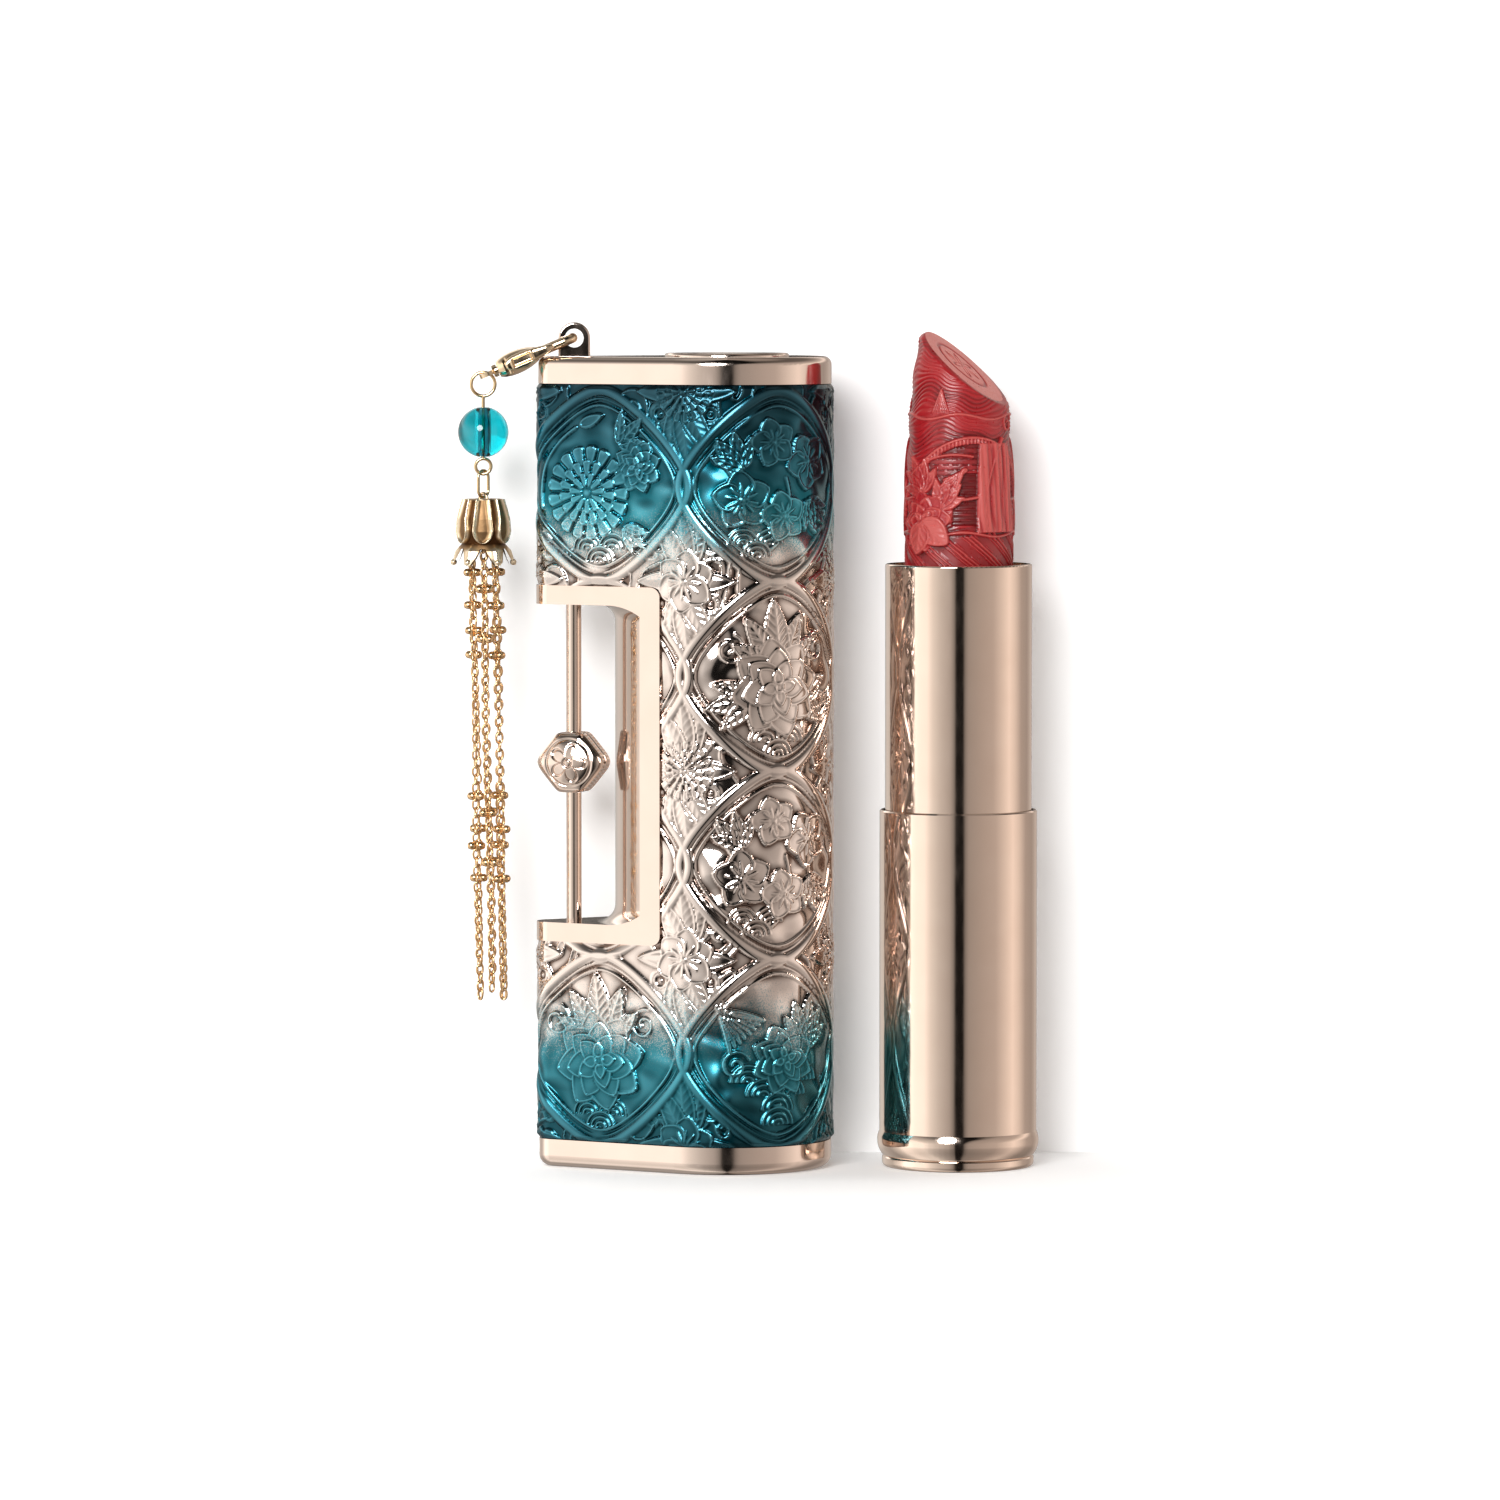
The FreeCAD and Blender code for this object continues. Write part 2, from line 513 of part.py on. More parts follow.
def oval_link():
    high, low = LINK_TOP - LINK_HALF, LINK_LOW + LINK_HALF
    path = [
        Part.makeLine(V(LINK_HALF, 0, low), V(LINK_HALF, 0, high)),
        Part.Arc(V(LINK_HALF, 0, high), V(0, 0, LINK_TOP), V(-LINK_HALF, 0, high)).toShape(),
        Part.makeLine(V(-LINK_HALF, 0, high), V(-LINK_HALF, 0, low)),
        Part.Arc(V(-LINK_HALF, 0, low), V(0, 0, LINK_LOW), V(LINK_HALF, 0, low)).toShape(),
    ]
    link = sweep(path, LINK_R, V(LINK_HALF, 0, low), UP)
    link.rotate(CENTRE, UP, 45)
    link.translate(V(PIN_X, 0, 0))
    return link


def bead_cap():
    return turned(list(CAP_OUTSIDE + CAP_LIP + CAP_INSIDE), PIN_X)


def chain_eye():
    """The eye in the top of the cap, on a stem from the hub that the chains hang from."""
    centre = LINK_LOW + 2 * LINK_R + CAP_EYE_GAP - CAP_EYE_R
    eye = loop(CAP_EYE_R, LINK_R, centre, -45)
    stem = disc(LINK_R, HUB_STEM, centre - CAP_EYE_R, PIN_X)
    hub = disc(HUB_R, STRAND_TOP + HUB_LIFT, HUB_TOP, PIN_X)
    return eye.fuse([stem, hub]).removeSplitter()


def strand(number):
    """One chain of the tassel with its small ring beads: a plain slender rod, hanging from the hub."""
    turn = math.radians(60 * number + 30)
    start = V(PIN_X + STRAND_RING * math.cos(turn), STRAND_RING * math.sin(turn), STRAND_TOP)
    end = V(start.x + STRAND_LEAN, start.y, STRAND_ENDS[number])
    along = end.sub(start)
    length = along.Length
    along.normalize()
    chain = Part.makeCylinder(STRAND_R, length, start, along)
    for step in RONDELLE_STEPS:
        at = start + along * (step + RONDELLE_SHIFT * (number % 3))
        chain = chain.fuse(Part.makeCylinder(RONDELLE_R, RONDELLE_H, at, along))
    return chain.removeSplitter()


# ---------------------------------------------------------------- write every piece
def pieces():
    front_half, back_half = knob_halves()
    made = {
        "outer_shell": outer_shell(), "bottom_ring": bottom_ring(), "top_cap": top_cap(),
        "notch_frame": notch_frame(), "lock_bar": lock_bar(), "inner_liner": inner_liner(),
        "magnet_ring": magnet_ring(), "guide_bush": guide_bush(), "eject_button": eject_button(),
        "eject_plunger": eject_plunger(), "eject_spring": eject_spring(),
        "knob_front": front_half, "knob_back": back_half,
        "base_shell": base_shell(), "shade_disc": shade_disc(), "base_weight": base_weight(),
        "base_core": base_core(), "friction_ring": friction_ring(), "slotted_tube": slotted_tube(),
        "spiral_sleeve": spiral_sleeve(), "sleeve_shell": sleeve_shell(), "cup": cup(), "bullet": bullet(),
        "clasp_body": clasp_body(), "clasp_lever": clasp_lever(), "lever_pin": lever_pin(),
        "lever_spring": lever_spring(), "swivel_eye": swivel_eye(), "eye_pin": eye_pin(),
        "glass_bead": glass_bead(), "oval_link": oval_link(), "bead_cap": bead_cap(),
        "chain_eye": chain_eye(),
    }
    for number in range(len(STRAND_ENDS)):
        made[f"chain_{number + 1}"] = strand(number)
    return made


def main():
    os.makedirs("parts", exist_ok=True)
    for name, shape in pieces().items():
        solids = shape.Solids
        print(f"{name:14s} solids {len(solids)} volume {shape.Volume:9.3f} valid {shape.isValid()}")
        out = solids[0] if len(solids) == 1 else shape
        out.exportStep(f"parts/{name}.step")


main()
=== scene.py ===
"""The looks of a relief-enamelled lipstick case, its lipstick and its charm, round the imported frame."""

import math
from functools import partial

import bpy
import numpy as np
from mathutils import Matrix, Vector


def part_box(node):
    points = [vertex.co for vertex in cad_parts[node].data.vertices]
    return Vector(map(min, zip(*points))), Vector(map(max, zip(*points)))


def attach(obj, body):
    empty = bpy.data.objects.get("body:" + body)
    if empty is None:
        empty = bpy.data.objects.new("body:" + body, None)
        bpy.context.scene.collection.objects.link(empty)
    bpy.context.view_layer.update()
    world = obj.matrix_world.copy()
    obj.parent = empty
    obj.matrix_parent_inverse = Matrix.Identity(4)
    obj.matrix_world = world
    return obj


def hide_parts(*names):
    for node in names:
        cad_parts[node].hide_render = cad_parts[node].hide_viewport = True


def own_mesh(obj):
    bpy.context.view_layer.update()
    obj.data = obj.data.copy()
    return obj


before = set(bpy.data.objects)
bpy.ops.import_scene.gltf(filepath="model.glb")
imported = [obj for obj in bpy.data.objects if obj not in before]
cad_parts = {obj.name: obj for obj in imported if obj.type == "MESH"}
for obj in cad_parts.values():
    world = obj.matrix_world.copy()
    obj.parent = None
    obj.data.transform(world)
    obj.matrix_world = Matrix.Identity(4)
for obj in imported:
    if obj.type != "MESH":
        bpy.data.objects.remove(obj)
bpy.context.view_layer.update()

MM = 0.001
TAU = 2 * math.pi


def box_mm(node):
    """Lowest and highest corner of a CAD node, in millimetres."""
    low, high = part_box(node)
    return np.array(low) / MM, np.array(high) / MM


# ---------------------------------------------------------------- mesh helpers


def quads(rows, cols, close_rows=False):
    """Four-sided faces over a grid of points whose columns close on themselves, and its rows if asked."""
    a, b = np.meshgrid(np.arange(rows if close_rows else rows - 1), np.arange(cols), indexing="ij")
    a2, b2 = (a + 1) % rows, (b + 1) % cols
    corners = [a * cols + b, a * cols + b2, a2 * cols + b2, a2 * cols + b]
    return np.stack(corners, -1).reshape(-1, 4)


def merged(parts):
    """One list of points and one of faces out of several."""
    points, faces, count = [], [], 0
    for part_points, part_faces in parts:
        points.append(np.asarray(part_points, float).reshape(-1, 3))
        faces += [[i + count for i in face] for face in np.asarray(part_faces, object).tolist()]
        count += len(points[-1])
    return np.concatenate(points), faces


def unit(v):
    """The vectors of an array, each one long."""
    v = np.asarray(v, float)
    return v / np.linalg.norm(v, axis=-1, keepdims=True)


def bell(distance, width):
    """1 at no distance, dying away smoothly over a width."""
    return np.exp(-((distance / width) ** 2))


def hump(share):
    """The height of a half circle over a share of its radius, and 0 beyond."""
    return np.sqrt(np.clip(1 - share**2, 0, 1))


def polar(radius, angle, z):
    """Points round Z from a distance, a direction and a height."""
    return np.stack(np.broadcast_arrays(radius * np.cos(angle), radius * np.sin(angle), z), -1)


def tube(path, radius, sides, closed=False):
    """A round wire along a path; radius may differ from point to point."""
    path = np.asarray(path, float)
    if closed:
        tangents = unit(np.roll(path, -1, 0) - np.roll(path, 1, 0))
    else:
        tangents = unit(np.gradient(path, axis=0))
    side = np.cross(tangents[0], [0.31, 0.87, 0.39])
    sides_at = []
    for tangent in tangents:
        side = unit(side - tangent * (side @ tangent))
        sides_at.append(side)
    normal = np.array(sides_at)
    other = np.cross(tangents, normal)
    angle = np.arange(sides) * TAU / sides
    reach = np.broadcast_to(np.asarray(radius, float), (len(path),))[:, None, None]
    ring = np.cos(angle)[None, :, None] * normal[:, None] + np.sin(angle)[None, :, None] * other[:, None]
    points = path[:, None] + reach * ring
    faces = quads(len(path), sides, close_rows=closed).tolist()
    if not closed:
        faces.append(list(range(sides))[::-1])
        faces.append([(len(path) - 1) * sides + i for i in range(sides)])
    return points.reshape(-1, 3), faces


def lathe(profile, segments, closed=True):
    """A turned surface about Z from (radius, z) pairs, outline anticlockwise as seen from +Y."""
    profile = np.asarray(profile, float)
    angle = np.arange(segments) * TAU / segments
    points = polar(profile[:, :1], angle, profile[:, 1:])
    return points.reshape(-1, 3), quads(len(profile), segments, close_rows=closed).tolist()


def piece(name, shape, body, slot, node, smooth=True, proud=None):
    """Makes a mesh object out of points in millimetres, riding on a body and standing for a CAD node.

    proud, where given, says from 0 in a hollow to 1 on a ridge how each point stands to those round it; the
    materials paint shade and highlight from it."""
    points, faces = shape
    mesh = bpy.data.meshes.new(name)
    faces = faces.tolist() if isinstance(faces, np.ndarray) else faces
    mesh.from_pydata((np.asarray(points) * MM).tolist(), [], faces)
    mesh.update()
    mesh.polygons.foreach_set("use_smooth", np.full(len(mesh.polygons), smooth))
    mesh.materials.append(MATERIALS[slot])
    if proud is not None:
        mesh.attributes.new("proud", "FLOAT", "POINT").data.foreach_set("value", np.ravel(proud))
    made = bpy.data.objects.new(name, mesh)
    bpy.context.scene.collection.objects.link(made)
    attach(made, body)
    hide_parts(node)
    return made


# ---------------------------------------------------------------- material helpers


def tint(code):
    """A colour for a shader socket, from its usual six-digit code."""
    levels = [int(code[i : i + 2], 16) / 255 for i in (0, 2, 4)]
    return [c / 12.92 if c <= 0.04045 else ((c + 0.055) / 1.055) ** 2.4 for c in levels] + [1.0]


def add_node(tree, kind, inputs, **settings):
    """A shader node with its settings made and its inputs linked or filled in."""
    node = tree.nodes.new(kind)
    for key, value in settings.items():
        setattr(node, key, value)
    for key, value in inputs.items():
        if isinstance(value, bpy.types.NodeSocket):
            tree.links.new(value, node.inputs[key])
        else:
            node.inputs[key].default_value = value
    return node


class Shade:
    """A procedural material being put together; its coordinates are millimetres on the piece."""

    def __init__(self, name, **constants):
        self.material = bpy.data.materials.new(name)
        self.material.use_nodes = True
        self.tree = self.material.node_tree
        self.shader = self.tree.nodes["Principled BSDF"]
        place = self.tree.nodes.new("ShaderNodeTexCoord")
        self.coords = self.add("ShaderNodeMapping", {"Vector": place.outputs["Object"]})
        self.coords.inputs["Scale"].default_value = (1 / MM, 1 / MM, 1 / MM)
        for socket, value in constants.items():
            self.shader.inputs[socket.replace("_", " ")].default_value = value

    def add(self, kind, inputs, **settings):
        """A node of this material."""
        return add_node(self.tree, kind, inputs, **settings)

    def noise(self, scale, detail, stretch=(1, 1, 1), roughness=0.5):
        """Noise with that many cells in a millimetre."""
        where = self.add("ShaderNodeMapping", {"Vector": self.coords.outputs[0], "Scale": stretch})
        made = self.add(
            "ShaderNodeTexNoise",
            {"Vector": where.outputs[0], "Scale": scale, "Detail": detail, "Roughness": roughness},
        )
        return made.outputs["Fac"]

    def spread(self, value, low, high, to_low=0.0, to_high=1.0, smooth=False):
        """The value stretched from one range to another, held at the ends."""
        made = self.add(
            "ShaderNodeMapRange",
            {"Value": value, "From Min": low, "From Max": high, "To Min": to_low, "To Max": to_high},
            interpolation_type="SMOOTHSTEP" if smooth else "LINEAR",
        )
        return made.outputs[0]

    def maths(self, operation, a, b=0.0):
        """One sum on two values."""
        return self.add("ShaderNodeMath", {0: a, 1: b}, operation=operation).outputs[0]

    def blend(self, factor, a, b):
        """Colour a where the factor is 0 and b where it is 1."""
        made = self.add("ShaderNodeMix", {0: factor, 6: a, 7: b}, data_type="RGBA")
        return made.outputs[2]

    def ramp(self, value, stops):
        """A colour that runs through (position, colour code) stops."""
        made = self.add("ShaderNodeValToRGB", {"Fac": value})
        steps = made.color_ramp.elements
        while len(steps) < len(stops):
            steps.new(0.5)
        for step, (position, code) in zip(steps, stops):
            step.position = position
            step.color = tint(code)
        return made.outputs["Color"]

    def height(self):
        """How high the point is, in millimetres."""
        return self.add("ShaderNodeSeparateXYZ", {0: self.coords.outputs[0]}).outputs["Z"]

    def proud(self):
        """How the point stands to those round it, as the piece stores it."""
        return self.add("ShaderNodeAttribute", {}, attribute_name="proud").outputs["Fac"]

    def feed(self, socket, value):
        """Links a varying value to the shader."""
        self.tree.links.new(value, self.shader.inputs[socket])

    def bump(self, value, height_mm, strength):
        """Raises the surface by a value, in millimetres."""
        made = self.add(
            "ShaderNodeBump", {"Height": value, "Distance": height_mm * MM, "Strength": strength}
        )
        self.feed("Normal", made.outputs[0])


def plated(name, light, dark, roughness, grain=0.0):
    """A plated metal: a slow drift of colour, smears of roughness and a fine grain."""
    shade = Shade(name, Metallic=1.0)
    shade.feed("Base Color", shade.blend(shade.noise(0.25, 2.0), tint(light), tint(dark)))
    smear = shade.noise(1.3, 4.0, stretch=(1, 1, 0.25))
    shade.feed("Roughness", shade.spread(smear, 0.3, 0.7, roughness * 0.7, roughness * 1.4))
    shade.bump(shade.noise(6.0, 2.0), grain + 0.0004, 0.6)
    return shade.material


def plastic(name, light, dark, roughness):
    """A moulded plastic with a faint mould texture."""
    shade = Shade(name)
    shade.feed("Base Color", shade.blend(shade.noise(0.5, 3.0), tint(light), tint(dark)))
    shade.feed("Roughness", shade.spread(shade.noise(2.0, 3.0), 0.3, 0.7, roughness, roughness + 0.15))
    shade.bump(shade.noise(12.0, 2.0), 0.01, 0.4)
    return shade.material


# ---------------------------------------------------------------- materials

FADE_TOP = (65.5, 73.5)
FADE_BOTTOM = (13.0, 20.5)
LACQUER_SPAN = (3.0, 87.0)
LACQUER = (
    (0.0, "0B5665"), (0.10, "10798A"), (0.2, "209CAE"), (0.5, "4FBCC8"), (0.80, "249CAE"), (0.88, "156F82"),
    (1.0, "0E3E4C"),
)


def enamelled_relief():
    """Teal lacquer over relief metal, sprayed on at both ends, fading out in fine specks; painted shade in
    hollows, painted highlight on ridges.
    """
    shade = Shade("enamelled_relief", Metallic=1.0, Coat_Weight=0.3, Coat_Roughness=0.06)
    up = shade.height()
    speck = shade.spread(shade.noise(7.0, 2.0, roughness=0.7), 0.3, 0.7, -3.0, 3.0)
    drift = shade.spread(shade.noise(0.16, 2.0), 0.3, 0.7, -1.6, 1.6)
    wander = shade.maths("ADD", speck, drift)
    at = shade.maths("ADD", up, wander)
    top = shade.spread(at, *FADE_TOP, smooth=True)
    bottom = shade.spread(at, *FADE_BOTTOM, 1.0, 0.0, smooth=True)
    cover = shade.maths("MAXIMUM", top, bottom)
    lacquer = shade.ramp(shade.spread(up, *LACQUER_SPAN), LACQUER)
    proud = shade.proud()
    # Lacquer pools thicker and darker in the hollows and thins lighter on the ridges; the darkening is also
    # painted shade and the lightening a painted highlight.
    thick = shade.add("ShaderNodeHueSaturation", {"Value": 0.5, "Saturation": 1.3, "Color": lacquer})
    thin = shade.add("ShaderNodeHueSaturation", {"Value": 1.9, "Saturation": 0.85, "Color": lacquer})
    ridge = shade.spread(proud, 0.25, 1.0, smooth=True)
    lacquer_pooled_and_lit = shade.blend(ridge, thick.outputs[0], thin.outputs[0])
    metal = shade.blend(shade.noise(0.12, 3.0), tint("E9DFDA"), tint("DCCEC6"))
    # Bare metal with brown patina in its hollows, darkened there also as painted shade.
    patina_and_shade = shade.blend(shade.spread(proud, 0.05, 0.5), tint("6E5B52"), metal)
    shade.feed("Base Color", shade.blend(cover, patina_and_shade, lacquer_pooled_and_lit))
    shade.feed("Roughness", shade.spread(cover, 0.0, 1.0, 0.09, 0.26))
    shade.bump(shade.noise(5.0, 3.0), 0.003, 0.5)
    return shade.material


def lipstick_red():
    """Moulded lipstick: a deep red wax with a satin skin, painted shade in its hollows and a painted pink
    highlight on its ridges and slanted face.
    """
    shade = Shade("lipstick_red", Subsurface_Weight=0.08, Subsurface_Scale=0.0006, Coat_Weight=0.2)
    shade.shader.inputs["Subsurface Radius"].default_value = (1.0, 0.25, 0.2)
    proud = shade.proud()
    wax = shade.blend(shade.noise(0.4, 4.0), tint("A01C22"), tint("8E1318"))
    # Painted shade darkens the hollows of the relief; a painted pink highlight lies on its ridges and on
    # the slanted face.
    shaded = shade.blend(shade.spread(proud, 0.08, 0.45), tint("5E060A"), wax)
    shine = shade.spread(proud, 0.6, 1.4, 0.0, 0.9)
    shade.feed("Base Color", shade.blend(shine, shaded, tint("CC675F")))
    shade.feed("Roughness", shade.spread(shade.noise(2.5, 3.0), 0.3, 0.7, 0.26, 0.42))
    shade.bump(shade.noise(9.0, 3.0), 0.006, 0.5)
    return shade.material


def teal_glass():
    """Clear teal glass with a little swirl in it."""
    shade = Shade("teal_glass", Transmission_Weight=1.0, IOR=1.5, Roughness=0.02)
    shade.feed("Base Color", shade.blend(shade.noise(0.35, 3.0), tint("16B2BC"), tint("0A98A6")))
    shade.bump(shade.noise(0.8, 2.0), 0.003, 0.4)
    return shade.material


def antique_gold():
    """Pale gold with brown patina in its hollows, deepened there as painted shade, and a painted highlight
    on its ridges.
    """
    shade = Shade("antique_gold", Metallic=1.0)
    proud = shade.proud()
    patch = shade.maths("MULTIPLY", proud, shade.spread(shade.noise(1.5, 4.0), 0.2, 0.6, 0.75, 1.0))
    gold = shade.ramp(patch, ((0.0, "4A2F1A"), (0.35, "A98862"), (0.7, "EFDDC0")))
    shade.feed("Base Color", gold)
    shade.feed("Roughness", shade.spread(patch, 0.0, 1.0, 0.5, 0.24))
    shade.bump(shade.noise(3.0, 3.0), 0.02, 0.6)
    return shade.material


PLATED = {
    "rose_gold": ("EBDACF", "E3D0C4", 0.10),
    "tube_rose_gold": ("EEDACC", "E6D0C1", 0.09),
    "magnet": ("B9BBC0", "8F9298", 0.3),
    "spring_steel": ("D5D7DB", "AEB2B8", 0.18),
    "weight_steel": ("C3C6CA", "9DA1A6", 0.25),
    "charm_gold": ("F2DDC0", "E6CBA6", 0.13, 0.002),
    "wire_gold": ("EBD3AE", "DDBF92", 0.16, 0.002),
    "chain_gold": ("F0D2A8", "DDB483", 0.2, 0.004),
}
PLASTIC = {
    "liner_plastic": ("26262A", "1C1C20", 0.4),
    "label_disc": ("B5313C", "A82A35", 0.35),
    "mechanism_plastic": ("E9E6E0", "DEDAD2", 0.35),
    "ring_rubber": ("2A2A2C", "202022", 0.6),
    "cup_plastic": ("E4DFD8", "D8D2CA", 0.35),
}
MATERIALS = {
    "enamelled_relief": enamelled_relief(),
    "lipstick_red": lipstick_red(),
    "antique_gold": antique_gold(),
    "teal_glass": teal_glass(),
}
MATERIALS.update((slot, plated(slot, *recipe)) for slot, recipe in PLATED.items())
MATERIALS.update((slot, plastic(slot, *recipe)) for slot, recipe in PLASTIC.items())


def finish_cad_nodes():
    """Gives every CAD node the built-up material of its slot."""
    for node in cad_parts.values():
        for holder in node.material_slots:
            holder.material = MATERIALS[holder.material.name.split(".")[0]]


# ---------------------------------------------------------------- relief


class Relief:
    """A sheet of heights over (across, up), in millimetres, that wraps round in the across direction."""

    LINE = 0.17

    def __init__(self, across, up, girth):
        self.across, self.up, self.girth = across, up, girth
        self.heights = np.zeros((len(up), len(across)))

    def near(self, u, z, reach):
        """Where on the sheet lies within reach of a point, with the offsets from it."""
        gap = (self.across - u + self.girth / 2) % self.girth - self.girth / 2
        cols = np.nonzero(np.abs(gap) <= reach)[0]
        rows = np.nonzero(np.abs(self.up - z) <= reach)[0]
        return np.ix_(rows, cols), *np.meshgrid(gap[cols], self.up[rows] - z)

    def fill(self, inside, value, where=...):
        """Sets the heights that are inside, on the whole sheet or on the part of it given by where."""
        self.heights[where] = np.where(inside, value, self.heights[where])

    def petal(
        self, u, z, angle, length, width, level=0.1, dome=0.12, line=0.14, veins=0.0, bend=0.0, blunt=False
    ):
        """A petal or leaf with its base at a point: a raised edge line round a domed blade."""
        where, x, y = self.near(u, z, length * 1.1)
        if not x.size:
            return
        along = x * math.cos(angle) + y * math.sin(angle)
        across = y * math.cos(angle) - x * math.sin(angle)
        t = np.clip(along / length, 0.001, 0.999)
        across = across - bend * length * t * t
        if blunt:
            half = width / 2 * np.sqrt(1 - (2 * t - 1) ** 6) * (0.5 + 0.5 * t)
        else:
            half = width / 2 * np.sin(math.pi * t**0.75) ** 0.7
        edge = np.minimum(half - np.abs(across), np.minimum(along, length - along))
        e = np.clip(np.abs(across) / np.maximum(half, 0.01), 0, 1)
        blade = level + dome * (1 - e * e) + line * bell(edge - self.LINE, self.LINE)
        if veins:
            rib = bell(across, 0.18)
            side = 0.5 + 0.5 * np.cos((along - 1.1 * np.abs(across)) * TAU / 0.95)
            blade += veins * np.maximum(rib, side**3 * (e < 0.85))
        self.fill((edge > 0) & (along > 0) & (along < length), blade, where)

    def ring_of_petals(self, u, z, count, length, width, start, turn, **finish):
        """Petals all round a point, each beginning a little way out."""
        for k in range(count):
            angle = turn + k * TAU / count
            foot = (u + start * math.cos(angle), z + start * math.sin(angle))
            self.petal(*foot, angle, length, width, **finish)

    def dome(self, u, z, radius, height, line=0.0):
        """A round boss."""
        where, x, y = self.near(u, z, radius)
        r = np.hypot(x, y) / radius
        self.fill(r < 1, np.maximum(height * hump(r) + line, self.heights[where]), where)

    def stroke(self, points, width, height):
        """A half-round line through points."""
        points = np.asarray(points, float)
        centre = points.mean(0)
        where, x, y = self.near(*centre, np.abs(points - centre).max() + width)
        nearest = np.full(x.shape, np.inf)
        for a, b in zip(points - centre, points[1:] - centre):
            run = b - a
            t = np.clip(((x - a[0]) * run[0] + (y - a[1]) * run[1]) / (run @ run), 0, 1)
            nearest = np.minimum(nearest, np.hypot(x - a[0] - t * run[0], y - a[1] - t * run[1]))
        line = height * hump(nearest / (width / 2))
        self.fill(nearest < width / 2, np.maximum(line, self.heights[where]), where)

    def ripples(self, u, z, radius, pitch, height, spread=math.pi / 2):
        """Concentric arcs, like a wave or a fish scale, to either side of straight up."""
        where, x, y = self.near(u, z, radius)
        r = np.hypot(x, y)
        away = np.abs((np.arctan2(y, x) - math.pi / 2 + math.pi) % TAU - math.pi)
        arcs = 0.02 + height * (0.5 + 0.5 * np.cos(r * TAU / pitch)) ** 1.5
        self.fill((r < radius) & (away < spread), arcs, where)

    def terraces(self, value, steps, rise, line):
        """Lobed plateaus, high and low by turns, each edged with a thin raised line."""
        stepped = value * steps
        nearest = np.round(stepped)
        high = (np.floor(stepped) % 2) * rise
        step_z, step_u = np.gradient(stepped, self.up, self.across)
        distance = np.abs(stepped - nearest) / np.maximum(np.hypot(step_z, step_u), 1e-6)
        self.heights = high + line * bell(distance, self.LINE)

    def level_line(self, value, width, height):
        """A half-round line where a field over the sheet crosses zero."""
        step_z, step_u = np.gradient(value, self.up, self.across)
        distance = value / np.maximum(np.hypot(step_z, step_u), 1e-6)
        line = height * hump(distance / (width / 2))
        self.fill(np.abs(distance) < width / 2, np.maximum(line, self.heights))


def blurred(heights, reach):
    """Heights of a sheet whose columns close on themselves, averaged over a square, twice over."""
    for axis, beyond in ((0, "edge"), (1, "wrap")) * 2:
        width = [(0, 0), (0, 0)]
        width[axis] = (reach + 1, reach)
        total = np.cumsum(np.pad(heights, width, beyond), axis)
        span = 2 * reach + 1
        far = np.take(total, range(span, total.shape[axis]), axis)
        near = np.take(total, range(0, total.shape[axis] - span), axis)
        heights = (far - near) / span
    return heights


def proudness(heights, reach, depth):
    """0 in hollows to 1 on ridges, from heights against their surroundings."""
    return np.clip(0.5 + (heights - blurred(heights, reach)) / depth, 0, 1)


def curl(u, z, size, turn, sweep=1.5, hand=1):
    """Points of a scroll that winds in on itself."""
    t = np.linspace(0, 1, 26)
    angle = turn + hand * sweep * TAU * t
    r = size * (1 - 0.8 * t)
    return np.stack([u + r * np.cos(angle), z + r * np.sin(angle)], -1)


def arch(a, b, rise):
    """Points of a shallow curve from a to b that bows to its left."""
    a, b = np.asarray(a, float), np.asarray(b, float)
    t = np.linspace(0, 1, 18)[:, None]
    run = b - a
    left = np.array([-run[1], run[0]])
    return a + run * t + left * rise * 4 * t * (1 - t)


# ---------------------------------------------------------------- the enamelled shell

SHELL_LOW, SHELL_HIGH = box_mm("outer_shell")
FRAME_LOW, FRAME_HIGH = box_mm("notch_frame")
ROUND_R = SHELL_HIGH[0]
NOSE_R = 2.3
NOSE_X = SHELL_LOW[0] + NOSE_R
NOSE_TURN = math.acos((ROUND_R - NOSE_R) / -NOSE_X)
NOSE_ARC = NOSE_R * NOSE_TURN
FLAT = math.sqrt(NOSE_X**2 - (ROUND_R - NOSE_R) ** 2)
GIRTH = 2 * (NOSE_ARC + FLAT + ROUND_R * (math.pi - NOSE_TURN))
GRID = 0.125
COLUMNS = 4
PITCH_U = GIRTH / COLUMNS
FIRST_SEAM = 19.9
PITCH_Z = 20.8
LOWEST_ROW = 13.4
ROWS = 4
BASE_DEPTH = -0.2
TURNED_IN = -0.8
UNDER_FRAME = 0.5
TIP_ROUNDING = 0.03
FRAME_EASE, FRAME_SHARE = 1.0, 0.35


def shell_outline(u):
    """Points and outward normals round the shell, from the nose tip along the front."""
    mirror = np.where(u > GIRTH / 2, -1.0, 1.0)
    v = np.where(u > GIRTH / 2, GIRTH - u, u)
    share = np.clip(v - NOSE_ARC, 0, FLAT) / FLAT
    turn = np.minimum(v, NOSE_ARC) / NOSE_R + np.maximum(v - NOSE_ARC - FLAT, 0) / ROUND_R
    normal = np.stack([-np.cos(turn), -np.sin(turn) * mirror], -1)
    reach = NOSE_R + share * (ROUND_R - NOSE_R)
    point = normal * reach[:, None]
    point[:, 0] += (1 - share) * NOSE_X
    return point, normal


